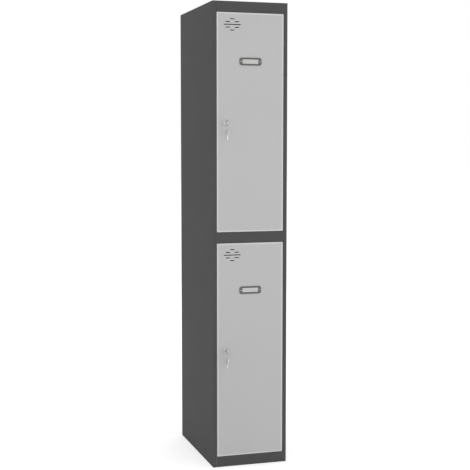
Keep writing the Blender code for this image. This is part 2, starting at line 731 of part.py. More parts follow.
def make_lock(tier, floor, door_pivot, lock_pivot, door):
    """A cam lock: housing and nut on the door, and plug, cam and screw that turn."""
    level = floor + TIER_HEIGHT / 2
    place = (LOCK_X, FRONT, level)
    turn = (math.radians(-90), 0, 0)
    bore = PLUG_RADIUS + FIT
    seat = PLUG_FACE + PLUG_HEAD + 2 * FIT
    face = -FIT - BEZEL
    rim = arc((BEZEL_RADIUS - BEZEL_EDGE, face + BEZEL_EDGE), BEZEL_EDGE, 0, -90, EDGE_STEPS)
    housing = [
        (bore, BARREL_END),
        (BARREL_RADIUS, BARREL_END),
        (BARREL_RADIUS, -FIT),
        (BEZEL_RADIUS, -FIT),
        *rim,
        (PLUG_HEAD_RADIUS + FIT, face),
        (PLUG_HEAD_RADIUS + FIT, seat),
        (bore, seat),
    ]
    name = f"{tier}_lock_housing"
    mesh = profile_mesh(name, housing, True)
    piece = make_piece(name, mesh, "nickel", door_pivot, place, turn)
    turn_profile(piece, ROUND_STEPS)
    cut_barrel_flats(piece, name, door_pivot, place)
    cut_lock_hole(door, tier, door_pivot, place)
    make_lock_nut(tier, door_pivot, place)
    make_plug(tier, lock_pivot, place, turn)
    make_cam(tier, lock_pivot, place)
    make_cam_screw(tier, lock_pivot, place)


def cut_barrel_flats(housing, name, pivot, place):
    """Two flats along the barrel, which keep the lock from turning in the door."""
    for side in (-1, 1):
        near = side * BARREL_FLATS / 2
        far = side * (BARREL_RADIUS + OVERRUN)
        low = (min(near, far), 0, -BARREL_RADIUS - OVERRUN)
        high = (max(near, far), BARREL_END + OVERRUN, BARREL_RADIUS + OVERRUN)
        mesh = box_mesh("barrel_flat", low, high)
        cutter = make_cutter(f"{name}_flat_{'left' if side < 0 else 'right'}", mesh, pivot, place)
        combine(housing, cutter, "DIFFERENCE")


def cut_lock_hole(door, tier, pivot, place):
    """The door's hole for the barrel, with the same two flats."""
    radius = BARREL_RADIUS + FIT
    half = BARREL_FLATS / 2 + FIT
    corner = math.degrees(math.acos(half / radius))
    upper = arc((0, 0), radius, corner, 180 - corner, 2 * ARC_STEPS)
    lower = arc((0, 0), radius, 180 + corner, 360 - corner, 2 * ARC_STEPS)
    mesh = outline_mesh("lock_hole", [upper + lower], 2 * (DOOR_SHEET + OVERRUN))
    turn = (math.radians(90), 0, 0)
    combine(door, make_cutter(f"{tier}_lock_hole", mesh, pivot, place, turn), "DIFFERENCE")


def make_lock_nut(tier, pivot, place):
    """The hexagon nut that clamps the housing to the door."""
    name = f"{tier}_lock_nut"
    low = DOOR_SHEET + FIT
    corner = LOCK_NUT_FLATS / math.sqrt(3)
    mesh = rod_mesh(name, corner, low, low + LOCK_NUT, NUT_SIDES)
    turn = (math.radians(-90), 0, 0)
    nut = make_piece(name, mesh, "zinc", pivot, place, turn)
    high = low + LOCK_NUT + OVERRUN
    hole = rod_mesh("nut_hole", BARREL_RADIUS + FIT, low - OVERRUN, high, ROUND_STEPS)
    combine(nut, make_cutter(f"{name}_hole", hole, pivot, place, turn), "DIFFERENCE")


def make_plug(tier, pivot, place, turn):
    """The plug: round in the housing, with a keyway in front and a square tang behind."""
    head_back = PLUG_FACE + PLUG_HEAD
    profile = [
        (0, BARREL_END),
        (PLUG_RADIUS, BARREL_END),
        (PLUG_RADIUS, head_back),
        (PLUG_HEAD_RADIUS, head_back),
        (PLUG_HEAD_RADIUS, PLUG_FACE),
        (0, PLUG_FACE),
    ]
    name = f"{tier}_lock_plug"
    plug = make_piece(name, profile_mesh(name, profile, False), "nickel", pivot, place, turn)
    turn_profile(plug, ROUND_STEPS)
    half = TANG / 2
    tang = box_mesh("tang", (-half, BARREL_END - OVERRUN, -half), (half, CAM_BACK, half))
    combine(plug, make_cutter(f"{name}_tang", tang, pivot, place), "UNION")
    half_slot = KEY_THICKNESS / 2 + FIT
    half_tall = BLADE_WIDTH / 2 + FIT
    low = (-half_slot, PLUG_FACE - OVERRUN, -half_tall)
    high = (half_slot, PLUG_FACE + BLADE_LENGTH, half_tall)
    keyway = box_mesh("keyway", low, high)
    combine(plug, make_cutter(f"{name}_keyway", keyway, pivot, place), "DIFFERENCE")
    hole = rod_mesh("screw_hole", SCREW_RADIUS + FIT, SCREW_HOLE_END, CAM_BACK + OVERRUN, SMALL_STEPS)
    combine(plug, make_cutter(f"{name}_screw_hole", hole, pivot, place, turn), "DIFFERENCE")


def make_cam(tier, pivot, place):
    """The cam, hanging down when unlocked, with a square hole over the plug's tang."""
    side = math.degrees(math.asin(CAM_WIDTH / 2 / CAM_HUB_RADIUS))
    tip = (0, -CAM_REACH + CAM_WIDTH / 2)
    outline = arc((0, 0), CAM_HUB_RADIUS, -90 + side, 270 - side, 3 * ARC_STEPS)
    outline += arc(tip, CAM_WIDTH / 2, 180, 360, ARC_STEPS)
    half = TANG / 2 + FIT
    square = [(-half, -half), (half, -half), (half, half), (-half, half)]
    name = f"{tier}_lock_cam"
    mesh = outline_mesh(name, [outline, square], CAM_THICKNESS)
    middle = Vector(place) + Vector((0, CAM_FRONT + CAM_THICKNESS / 2, 0))
    cam = make_piece(name, mesh, "zinc", pivot, middle, (math.radians(90), 0, 0))
    smooth(cam)


def make_cam_screw(tier, pivot, place):
    """The screw that holds the cam on the plug."""
    under = CAM_BACK + FIT
    profile = [
        (0, under + SCREW_HEAD),
        (SCREW_HEAD_RADIUS * SCREW_NOSE_SHARE, under + SCREW_HEAD),
        (SCREW_HEAD_RADIUS, under + SCREW_HEAD * SCREW_EDGE_SHARE),
        (SCREW_HEAD_RADIUS, under),
        (SCREW_RADIUS, under),
        (SCREW_RADIUS, CAM_BACK - SCREW_LENGTH),
        (0, CAM_BACK - SCREW_LENGTH),
    ]
    name = f"{tier}_cam_screw"
    turn = (math.radians(-90), 0, 0)
    screw = make_piece(name, profile_mesh(name, profile, False), "zinc", pivot, place, turn)
    turn_profile(screw, SMALL_STEPS)


def key_mesh():
    """A key in the XY plane, its blade towards +X, with the hole in its bow at the origin."""
    bow = (KEY_BOW_RADIUS - KEY_HOLE_EDGE, 0)
    shoulder = bow[0] + KEY_BOW_RADIUS + KEY_NECK
    half_neck = KEY_NECK_WIDTH / 2
    half_blade = BLADE_WIDTH / 2
    neck = math.degrees(math.asin(half_neck / KEY_BOW_RADIUS))
    outline = arc(bow, KEY_BOW_RADIUS, neck, 360 - neck, 4 * ARC_STEPS)
    outline += [(shoulder, -half_neck), (shoulder, -half_blade)]
    end = shoulder + BLADE_LENGTH - FIT
    tip = half_blade * TIP_SHARE
    outline += [(end - half_blade, -half_blade), (end, -tip), (end, 0), (end - half_blade, half_blade)]
    pitch = (BLADE_LENGTH - BLADE_WIDTH) / BLADE_CUTS
    flat = pitch * BLADE_FLAT_SHARE
    for place in range(BLADE_CUTS):
        middle = end - BLADE_WIDTH / 2 - pitch * (place + 0.5)
        depth = half_blade - BLADE_CUT * BLADE_CUT_SHARES[place % len(BLADE_CUT_SHARES)]
        outline += [
            (middle + pitch / 2 - flat / 2, half_blade),
            (middle + flat / 2, depth),
            (middle - flat / 2, depth),
            (middle - pitch / 2 + flat / 2, half_blade),
        ]
    outline += [(shoulder, half_blade), (shoulder, half_neck)]
    hole = arc((0, 0), KEY_HOLE_RADIUS, 0, 360 * (1 - 1 / SMALL_STEPS), SMALL_STEPS - 1)
    return outline_mesh("key", [outline, hole], KEY_THICKNESS)


def ring_mesh():
    """The ring of round wire, in the XZ plane, with its top at the origin."""
    bpy.ops.mesh.primitive_torus_add(
        major_radius=RING_RADIUS,
        minor_radius=RING_WIRE_RADIUS,
        major_segments=ROUND_STEPS,
        minor_segments=ARC_STEPS,
    )
    torus = bpy.context.object
    mesh = torus.data
    upright = Matrix.Rotation(math.radians(90), 4, "X")
    mesh.transform(Matrix.Translation((0, 0, -RING_RADIUS)) @ upright)
    bpy.data.objects.remove(torus)
    mesh.shade_smooth()
    mesh.name = "key_ring"
    return mesh


def make_keys(tier, floor, lock_pivot):
    """A key in the lock, and the spare that hangs from it on a ring."""
    level = floor + TIER_HEIGHT / 2
    hole = Vector((LOCK_X, FRONT - KEY_HOLE_OUT, level))
    inward = Matrix(((0, 0, 1), (1, 0, 0), (0, 1, 0))).to_euler()
    name = f"{tier}_key"
    make_piece(name, KEY, "nickel", lock_pivot, hole, inward)
    ring_top = hole - Vector((0, 0, HANG))
    ring_pivot = make_pivot(f"{tier}_ring_pivot", ring_top, lock_pivot)
    make_piece(f"{tier}_key_ring", RING, "nickel", ring_pivot, ring_top)
    ring_bottom = ring_top - Vector((0, 0, 2 * RING_RADIUS))
    spare_pivot = make_pivot(f"{tier}_spare_key_pivot", ring_bottom, ring_pivot)
    downward = (0, math.radians(90), 0)
    place = ring_bottom - Vector((0, 0, HANG))
    make_piece(f"{tier}_spare_key", KEY, "nickel", spare_pivot, place, downward)


def make_tier(tier, floor):
    """One compartment's door, hinge, buffers, card holder, lock, keys and coat hook."""
    place = (PIVOT_X, FRONT + PIVOT_DEPTH, floor)
    door_pivot = make_pivot(f"{tier}_door_pivot", place, CABINET)
    place = (LOCK_X, FRONT, floor + TIER_HEIGHT / 2)
    lock_pivot = make_pivot(f"{tier}_lock_pivot", place, door_pivot)
    door = make_door(tier, floor, door_pivot)
    make_hinge(tier, floor, door_pivot)
    make_buffers(tier, floor)
    make_card_holder(tier, floor, door_pivot, door)
    make_lock(tier, floor, door_pivot, lock_pivot, door)
    make_keys(tier, floor, lock_pivot)
    make_coat_hook(tier, floor)


clear_scene()
PARTS = make_collection("two_door_locker")
CUTTERS = make_collection("cutters")
MATERIALS = make_materials()
CABINET = make_pivot("cabinet", (0, 0, 0))
KEY = key_mesh()
RING = ring_mesh()
make_side_panels()
make_back_panel()
make_pans()
for number, tier_name in enumerate(TIER_NAMES):
    make_tier(tier_name, RAIL_HEIGHT + number * TIER_PITCH)
shade_sheets()
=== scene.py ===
# %% [markdown]
# A steel locker with two doors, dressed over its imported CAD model.
#
# Every object here is in metres, with its place in its mesh, in the same frame as the CAD. Each
# step starts with a few words on what the piece or finish is on the real locker, how it could be
# made in Blender, and why this way was chosen. The first step loads the CAD pieces, which stay
# where they are.

import math

import bmesh
import bpy
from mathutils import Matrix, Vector


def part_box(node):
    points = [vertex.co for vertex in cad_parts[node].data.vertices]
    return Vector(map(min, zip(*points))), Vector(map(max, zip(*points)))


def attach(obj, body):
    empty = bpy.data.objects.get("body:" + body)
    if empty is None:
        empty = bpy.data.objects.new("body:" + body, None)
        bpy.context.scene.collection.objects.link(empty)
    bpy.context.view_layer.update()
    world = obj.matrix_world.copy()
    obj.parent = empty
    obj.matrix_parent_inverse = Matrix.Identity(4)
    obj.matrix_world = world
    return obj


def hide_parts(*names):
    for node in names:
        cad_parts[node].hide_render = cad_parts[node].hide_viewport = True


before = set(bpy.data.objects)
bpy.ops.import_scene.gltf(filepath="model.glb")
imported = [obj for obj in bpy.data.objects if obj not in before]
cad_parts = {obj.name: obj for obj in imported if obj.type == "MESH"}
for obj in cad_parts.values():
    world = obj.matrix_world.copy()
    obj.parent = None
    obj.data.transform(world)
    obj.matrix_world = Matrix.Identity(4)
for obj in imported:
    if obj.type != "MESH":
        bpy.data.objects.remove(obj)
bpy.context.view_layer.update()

# %% [markdown]
# The sizes of the sheet metal come from the CAD. Where a CAD piece's box gives a place, it is read
# from there. The rest is what a box can't say: the sheet's thickness, the radius of its bends, and
# the fit between pieces.

# %% Sizes of the sheet metal
left_low, left_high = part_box("left_side_panel")
right_low, right_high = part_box("right_side_panel")
door_low, door_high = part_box("lower_door")
shelf_low, shelf_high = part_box("middle_shelf")

HEIGHT = left_high.z
HALF_WIDTH = right_high.x
FRONT = left_low.y
REAR = left_high.y
RAIL = shelf_high.z - shelf_low.z
PITCH = shelf_high.z - RAIL
STILE = right_high.x - right_low.x
LIP = left_high.x - left_low.x - STILE
HINGE_LIP = 0.008  # the lip of the right stile, which is narrower
STOP = 0.0200  # from the front to the lips behind the stiles
SHEET = 0.0008
BEND = 0.0012  # the cabinet's folds, outside
BEND_STEPS = 5
PAN_LIP = 0.018
DOOR_BEND = 0.0020
DOOR_LIP = 0.012
DOOR_GAP = 0.0015
FIT = 0.0003  # between pieces that touch
SEAM = 0.0001  # a welded seam, or the play round a hole
OVERRUN = 0.002  # how far a cutter reaches past the metal
HOLE = 0.006  # the length of a rod that cuts a hole
print(f"cabinet {2 * HALF_WIDTH:.3f} x {REAR - FRONT:.3f} x {HEIGHT:.3f} m")
print(f"tiers {PITCH:.3f} m apart")

# %% [markdown]
# An operator acts on all that is selected, and loading the CAD leaves its pieces selected. So each
# piece of work starts by deselecting everything. Inside edit mode, faces, edges and corners are
# picked by a test on their middle and normal, which is what a click would do by hand.

# %% Selecting
def work_on(*things):
    """Leaves edit mode, and makes these the only selected objects, the first one active."""
    if bpy.context.mode != "OBJECT":
        bpy.ops.object.mode_set(mode="OBJECT")
    bpy.ops.object.select_all(action="DESELECT")
    for thing in things:
        thing.select_set(True)
    bpy.context.view_layer.objects.active = things[0]


def edit(piece):
    """Goes into edit mode on one object, picking corners, with nothing selected in it."""
    work_on(piece)
    bpy.ops.object.mode_set(mode="EDIT")
    bpy.ops.mesh.select_mode(type="VERT")
    bpy.ops.mesh.select_all(action="DESELECT")


def leave():
    """Back to object mode."""
    bpy.ops.object.mode_set(mode="OBJECT")


def take_all():
    """Selects the whole mesh in edit mode."""
    bpy.ops.mesh.select_all(action="SELECT")


def middle(part):
    """The middle of a corner, an edge or a face."""
    if isinstance(part, bmesh.types.BMVert):
        return part.co.copy()
    return sum((corner.co for corner in part.verts), Vector()) / len(part.verts)


def pick(kind, test):
    """Selects what passes the test: "VERT", "EDGE" or "FACE". Says how many."""
    bpy.ops.mesh.select_all(action="DESELECT")
    bpy.ops.mesh.select_mode(type=kind)
    shape = bmesh.from_edit_mesh(bpy.context.edit_object.data)
    shape.normal_update()
    parts = {"VERT": shape.verts, "EDGE": shape.edges, "FACE": shape.faces}[kind]
    found = [part for part in parts if test(part)]
    for part in found:
        part.select_set(True)
    shape.select_flush_mode()
    bmesh.update_edit_mesh(bpy.context.edit_object.data)
    return len(found)


def near(value, target, room=0.00005):
    """Whether a coordinate is at a place, within a hair."""
    return abs(value - target) < room


# %% [markdown]
# Primitives are added at their size and place. Applying the transform at once moves the place into
# the mesh, so the object itself stays at the origin, unturned and unscaled.

# %% Starting shapes
def settle(piece, name):
    """Names a new object, and puts its place, turn and scale into its mesh."""
    piece.name = name
    piece.data.name = name
    work_on(piece)
    bpy.ops.object.transform_apply(location=True, rotation=True, scale=True)
    return piece


def add_box(name, corner, opposite):
    """A box between two opposite corners, in any order."""
    corner, opposite = Vector(corner), Vector(opposite)
    size = [abs(length) for length in opposite - corner]
    bpy.ops.mesh.primitive_cube_add(size=1, location=(corner + opposite) / 2, scale=size)
    return settle(bpy.context.object, name)


TURNS = {"x": (0, math.radians(90), 0), "y": (math.radians(90), 0, 0), "z": (0, 0, 0)}


def add_plane(name, centre, width, height):
    """A flat face to the front, of a width and a height."""
    bpy.ops.mesh.primitive_plane_add(size=1, location=centre, rotation=TURNS["y"])
    bpy.context.object.scale = (width, height, 1)
    return settle(bpy.context.object, name)


def add_rod(name, centre, radius, length, axis, sides=32):
    """A rod of a given length, along one axis."""
    bpy.ops.mesh.primitive_cylinder_add(
        vertices=sides, radius=radius, depth=length, location=centre, rotation=TURNS[axis]
    )
    return settle(bpy.context.object, name)


def move(*by):
    """Moves what is selected in edit mode."""
    bpy.ops.transform.translate(value=by)


def extrude(*by):
    """Draws out what is selected in edit mode."""
    bpy.ops.mesh.extrude_region_move(TRANSFORM_OT_translate={"value": by})


# %% [markdown]
# Some outlines are drawn from a single corner, which is drawn out again and again. Blender has no
# such primitive, so a plane is merged at its middle. What was drawn, spun or joined has
# corners on top of each other and may be inside out. Its doubles are merged, and then its faces
# are turned outwards.

# %% Drawn shapes
MERGE = 0.000002
DOUBLES = 0.00001


def add_corner(name, place=(0, 0, 0)):
    """A new piece that is one corner, selected in edit mode."""
    bpy.ops.mesh.primitive_plane_add(size=1, location=place)
    piece = settle(bpy.context.object, name)
    edit(piece)
    take_all()
    bpy.ops.mesh.merge(type="CENTER")
    return piece


def merge_doubles(reach=DOUBLES):
    """Makes one corner of those within reach of each other."""
    take_all()
    bpy.ops.mesh.remove_doubles(threshold=reach)


def face_outwards():
    """Turns the faces of a closed shape outwards."""
    take_all()
    bpy.ops.mesh.normals_make_consistent(inside=False)


# %% [markdown]
# Modifiers do what would be tedious by hand. Each is applied as soon as it is set, so a piece's
# mesh is always its final shape. Cutters are plain boxes and rods that are removed after their
# cut.

# %% Modifiers and copies
def apply_modifier(piece, kind, **settings):
    """Adds a modifier, and applies it."""
    work_on(piece)
    modifier = piece.modifiers.new(kind.lower(), kind)
    for setting, value in settings.items():
        setattr(modifier, setting, value)
    bpy.ops.object.modifier_apply(modifier=modifier.name)


def combine(piece, others, operation="DIFFERENCE"):
    """Cuts pieces from another, or welds them to it, and removes them."""
    if len(others) > 1:
        work_on(*others)
        bpy.ops.object.join()
    other = others[0]
    apply_modifier(piece, "BOOLEAN", operation=operation, object=other, solver="EXACT")
    bpy.data.objects.remove(other)


def repeat(piece, name, by):
    """A copy with a mesh of its own, moved."""
    work_on(piece)
    bpy.ops.object.duplicate()
    copy = bpy.context.object
    bpy.ops.transform.translate(value=by)
    return settle(copy, name)


def shade(piece, angle=30):
    """Merges corners that lie on each other, then smooths the bends and leaves the flats flat."""
    edit(piece)
    merge_doubles(MERGE)
    bpy.ops.mesh.dissolve_degenerate(threshold=MERGE)
    leave()
    bpy.ops.object.shade_smooth_by_angle(angle=math.radians(angle))
    apply_modifier(piece, "WEIGHTED_NORMAL", weight=100, keep_sharp=True)


def soften(piece, width, steps=2, angle=35):
    """Rounds the sharp edges."""
    apply_modifier(
        piece,
        "BEVEL",
        width=width,
        segments=steps,
        limit_method="ANGLE",
        angle_limit=math.radians(angle),
        use_clamp_overlap=True,
    )


def fold(piece, radius):
    """Rounds the bends of a surface, then gives the sheet its thickness inwards."""
    soften(piece, radius, BEND_STEPS, 20)
    apply_modifier(
        piece,
        "SOLIDIFY",
        thickness=SHEET,
        offset=-1,
        use_even_offset=True,
        use_quality_normals=True,
    )


# %% [markdown]
# A turned piece is drawn as half of its outline, from its axis outwards, and spun once round. By
# hand that is one corner drawn out again and again, and then the spin tool.

# %% Turning on a lathe
AXES = {"x": Vector((1, 0, 0)), "y": Vector((0, 1, 0)), "z": Vector((0, 0, 1))}
ACROSS = {"x": Vector((0, 0, 1)), "y": Vector((1, 0, 0)), "z": Vector((1, 0, 0))}


def turn(name, centre, axis, outline, steps=48):
    """A turned piece from its outline: (radius, place along the axis) points."""
    points = [Vector(centre) + ACROSS[axis] * r + AXES[axis] * along for r, along in outline]
    piece = add_corner(name, points[0])
    for start, end in zip(points, points[1:]):
        extrude(*(end - start))
    take_all()
    bpy.ops.mesh.spin(steps=steps, angle=math.radians(360), center=centre, axis=AXES[axis])
    merge_doubles()
    face_outwards()
    leave()
    return piece


def facing(way, outline):
    """An outline as it is, or with -1 its places along the axis the other way round."""
    return [(radius, way * along) for radius, along in outline]


# %% [markdown]
# Shader maths reads best as an expression. A small class wraps a socket, and adds a Math node for
# each operator, so `1 - mask` works. Every other node comes from one function, which takes the
# node's type, its settings and what goes into its sockets.

# %% Shader expressions
def plug(tree, socket, value):
    """Links a wire or a socket, or sets a constant."""
    if isinstance(value, Wire):
        value = value.socket
    if isinstance(value, bpy.types.NodeSocket):
        tree.links.new(value, socket)
    else:
        socket.default_value = value


def add_node(tree, kind, settings=(), sockets=()):
    """A node of a type, with its settings and then its sockets."""
    node = tree.nodes.new(kind)
    for name, value in dict(settings).items():
        setattr(node, name, value)
    for name, value in dict(sockets).items():
        plug(tree, node.inputs[name], value)
    return node


class Wire:
    """A number that varies over a surface."""

    def __init__(self, tree, socket):
        self.tree = tree
        self.socket = socket

    def calculate(self, operation, *values):
        """A Math node on values, in their order."""
        node = add_node(self.tree, "ShaderNodeMath", {"operation": operation}, enumerate(values))
        return Wire(self.tree, node.outputs[0])

    def math(self, operation, *others):
        """A Math node on this number, with the others after it."""
        return self.calculate(operation, self, *others)

    def __add__(self, other):
        return self.calculate("ADD", self, other)

    def __radd__(self, other):
        return self.calculate("ADD", other, self)

    def __sub__(self, other):
        return self.calculate("SUBTRACT", self, other)

    def __rsub__(self, other):
        return self.calculate("SUBTRACT", other, self)

    def __mul__(self, other):
        return self.calculate("MULTIPLY", self, other)

    def __rmul__(self, other):
        return self.calculate("MULTIPLY", other, self)

    def steps(self, low, high):
        """0 below low, 1 above high, and smooth between. With low above high it falls."""
        ends = {
            "Value": self,
            "From Min": min(low, high),
            "From Max": max(low, high),
            "To Min": 0 if low < high else 1,
            "To Max": 1 if low < high else 0,
        }
        node = add_node(
            self.tree, "ShaderNodeMapRange", {"interpolation_type": "SMOOTHSTEP"}, ends
        )
        return Wire(self.tree, node.outputs["Result"])


class Finish:
    """A material under construction."""

    def __init__(self, name):
        self.material = bpy.data.materials.new(name)
        self.material.use_nodes = True
        self.tree = self.material.node_tree
        self.shader = self.tree.nodes["Principled BSDF"]
        self.place = self.node("ShaderNodeTexCoord").outputs["Object"]

    def node(self, kind, settings=(), sockets=()):
        """A node in this material."""
        return add_node(self.tree, kind, settings, sockets)

    def noise(self, scale, detail=2.0, roughness=0.5, vector=None):
        """Noise about a middle of 0.5, with so many swells to the metre."""
        sockets = {
            "Scale": scale,
            "Detail": detail,
            "Roughness": roughness,
            "Vector": vector or self.place,
        }
        return Wire(self.tree, self.node("ShaderNodeTexNoise", {}, sockets).outputs[0])

    def stretched(self, scale):
        """The place on the piece, stretched by a scale to each axis."""
        node = self.node("ShaderNodeMapping", {}, {"Vector": self.place, "Scale": scale})
        return node.outputs["Vector"]

    def along(self):
        """The three coordinates as wires."""
        split = self.node("ShaderNodeSeparateXYZ", {}, {"Vector": self.place})
        return [Wire(self.tree, output) for output in split.outputs]

    def edges(self, radius):
        """1 on an edge sharper than the radius, and 0 on the flats."""
        round_normal = self.node("ShaderNodeBevel", {"samples": 4}, {"Radius": radius})
        plain = self.node("ShaderNodeNewGeometry")
        dot = self.node(
            "ShaderNodeVectorMath",
            {"operation": "DOT_PRODUCT"},
            {0: round_normal.outputs["Normal"], 1: plain.outputs["Normal"]},
        )
        return Wire(self.tree, dot.outputs["Value"]).steps(0.995, 0.90)

    def toned(self, colour, tone):
        """A colour made lighter or darker by a wire about 1."""
        sockets = {0: colour[:3], "Scale": tone}
        return self.node("ShaderNodeVectorMath", {"operation": "SCALE"}, sockets).outputs["Vector"]

    def blend(self, first, second, amount):
        """A colour between two colours. The Mix node has its colours at sockets 6, 7 and 2."""
        sockets = {0: amount, 6: first, 7: second}
        return self.node("ShaderNodeMix", {"data_type": "RGBA"}, sockets).outputs[2]

    def bump(self, height, depth, strength=1.0, below=None):
        """A normal from a height, whose full swing is so many metres."""
        sockets = {"Height": height, "Distance": depth, "Strength": strength}
        if below is not None:
            sockets["Normal"] = below
        return self.node("ShaderNodeBump", {}, sockets).outputs["Normal"]

    def set(self, **sockets):
        """Feeds the shader's own sockets."""
        for name, value in sockets.items():
            plug(self.tree, self.shader.inputs[name.replace("_", " ")], value)
        return self.material


def grey(level):
    """An opaque linear grey."""
    return (level, level, level, 1)


# %% [markdown]
# Powder coat is the finish of the whole cabinet: a plastic powder melted on the steel. Close up it
# has a fine orange-peel skin, a few specks, and a satin gloss that changes slowly over a panel.
# The coat is a hair thinner on sharp edges, so they rub lighter; that lighter edge is also a
# painted highlight of the bends. Round a door's face a lighter band is a painted highlight too,
# where the rounded bends catch light. Where the spare key swings, the door gets faint scuffs, and
# the foot of the cabinet gets marks from mops and shoes. All of it stays faint, because the locker
# in the photo is new. The painted band, scuffs and marks each follow a place, so they are masks
# worked out from coordinates.

# %% Powder coat
key_low, key_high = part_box("lower_key")
KEY_X = (key_low.x + key_high.x) / 2
KEY_Z = (key_low.z + key_high.z) / 2
DOOR_MIDDLE = (door_low.z + door_high.z) / 2
# The width and fade of the painted highlight band round a door's face.
HIGHLIGHT_WIDTH = 0.0045
HIGHLIGHT_FADE = 0.0035
SCUFFS_BELOW_KEY = 0.045
SCUFFS_REACH = 0.034
FOOT_MARKS = 0.10


def powder_coat(name, level, paler_grey, gloss, shine, highlight_rim=0.0):
    """Powder coat: grey, paler grey of wear and painted highlight, roughness, shine, painted band.
    """
    coat = Finish(name)
    x, y, z = coat.along()
    slow = coat.noise(3.0, 3.0)
    peel = coat.noise(420.0, 2.0, 0.55)
    fine = coat.noise(1100.0, 2.0)
    speck = coat.noise(1500.0, 1.0).steps(0.66, 0.78)
    # Lighter sharp edges: partly a thinner, rubbed coat and partly a painted highlight of the
    # bends.
    lighter_edges = coat.edges(0.0030) * (0.35 + coat.noise(55.0, 4.0, 0.7).steps(0.42, 0.66) * 0.65)
    strokes = coat.noise(1.0, 3.0, 0.6, coat.stretched((260.0, 260.0, 18.0))).steps(0.60, 0.70)
    foot = z.steps(FOOT_MARKS, 0.012) * strokes * coat.noise(9.0, 2.0).steps(0.45, 0.65)
    drop = (z - (KEY_Z - SCUFFS_BELOW_KEY)).math("WRAP", PITCH / 2, -PITCH / 2)
    side = x - KEY_X
    reach = (side * side + drop * drop).math("SQRT")
    scratch = coat.noise(1.0, 2.0, 0.6, coat.stretched((60.0, 1.0, 700.0))).steps(0.60, 0.68)
    front = y.steps(FRONT + 0.0006, FRONT + 0.0002)
    swing = reach.steps(SCUFFS_REACH, 0.010) * scratch * front
    wear_and_highlight = (lighter_edges * 0.60 + foot * 0.35 + swing * 0.16).math("MINIMUM", 1.0)
    tone = (slow - 0.5) * 0.08 + (fine - 0.5) * 0.05 + 1.0
    colour = coat.blend(coat.toned(grey(level), tone), grey(paler_grey), wear_and_highlight)
    # A painted highlight: a lighter band round the door's face, inside its rounded bends.
    if highlight_rim:
        up = (z - DOOR_MIDDLE).math("WRAP", PITCH / 2, -PITCH / 2).math("ABSOLUTE")
        across = x.math("ABSOLUTE")
        edge = (across - door_high.x).math("MAXIMUM", up - (door_high.z - DOOR_MIDDLE))
        bend = y.steps(FRONT + DOOR_BEND + 0.0010, FRONT + DOOR_BEND)
        highlight_band = edge.steps(-HIGHLIGHT_WIDTH - HIGHLIGHT_FADE, -HIGHLIGHT_WIDTH) * bend * (slow * 0.4 + 0.8)
        colour = coat.blend(colour, grey(paler_grey), highlight_band * highlight_rim)
    colour = coat.blend(colour, grey(level * 0.80), speck * 0.25)
    rough = gloss + (slow - 0.5) * 0.10 + (peel - 0.5) * 0.06 + wear_and_highlight * 0.15
    skin = coat.bump(peel + fine * 0.35, 0.00008, 0.7)
    skin = coat.bump(1 - wear_and_highlight * 0.6, 0.00004, 0.5, skin)
    return coat.set(Base_Color=colour, Roughness=rough, Normal=skin, Specular_IOR_Level=shine)


CARCASS_GREY = powder_coat("carcass_grey", 0.083, 0.145, 0.56, 0.04)
# The door's last number is the strength of its painted highlight band.
DOOR_GREY = powder_coat("door_grey", 0.475, 0.740, 0.42, 0.50, 0.45)
print("powder coats:", CARCASS_GREY.name, DOOR_GREY.name)

# %% [markdown]
# The lock, its keys and their ring are nickel plated, with fine marks from polishing and handling.
# The nickel comes as two copies: a lighter one on the spare key, which is a painted highlight, and
# a darker one on the lock, its key and its ring, which is a painted shade. The nut, cam, screws,
# rivets and hooks are zinc plated: cooler and duller, with the soft clouding that a plating bath
# leaves. All keep their colour on the metallic socket, so that they still shine in other light.

# %% Plated metals
def plated(name, colour, cloud, gloss, marks):
    """Plated metal: a colour, its darker clouds, its roughness, and how many fine marks it has."""
    metal = Finish(name)
    slow = metal.noise(140.0, 3.0)
    fine = metal.noise(1.0, 2.0, 0.6, metal.stretched((900.0, 4200.0, 900.0)))
    cross = metal.noise(1.0, 2.0, 0.6, metal.stretched((5200.0, 700.0, 1300.0)))
    lighter_edges = metal.edges(0.0003)
    polished = (*[min(1.0, c * 1.2) for c in colour], 1)
    tint = metal.blend((*colour, 1), (*cloud, 1), slow.steps(0.35, 0.68) * 0.6)
    tint = metal.blend(tint, polished, lighter_edges * 0.5)
    rough = gloss + (slow - 0.5) * 0.12 + (fine - 0.5) * marks - lighter_edges * 0.05
    skin = metal.bump(fine * 0.6 + cross * 0.4, 0.00002, marks)
    return metal.set(Base_Color=tint, Roughness=rough, Metallic=1.0, Normal=skin)


# The nickel of the lock, its key and its ring is darkened: a painted shade.
NICKEL = plated("nickel", (0.545, 0.542, 0.535), (0.430, 0.428, 0.422), 0.32, 0.30)
# The spare key's lighter copy of the nickel: a painted highlight.
HIGHLIGHT_NICKEL = plated("highlight_nickel", (0.670, 0.667, 0.660), (0.540, 0.537, 0.530), 0.34, 0.30)
ZINC = plated("zinc", (0.44, 0.455, 0.48), (0.30, 0.315, 0.34), 0.40, 0.25)
print("metals:", NICKEL.name, HIGHLIGHT_NICKEL.name, ZINC.name)

# %% [markdown]
# The card holder is moulded from dark grey plastic with a fine spark-eroded grain. The bushes are
# black nylon, smoother and waxier. The buffers are rubber, matt with a bloom of dust. The card is
# uncoated paper board: its fibres show as a faint mottle.

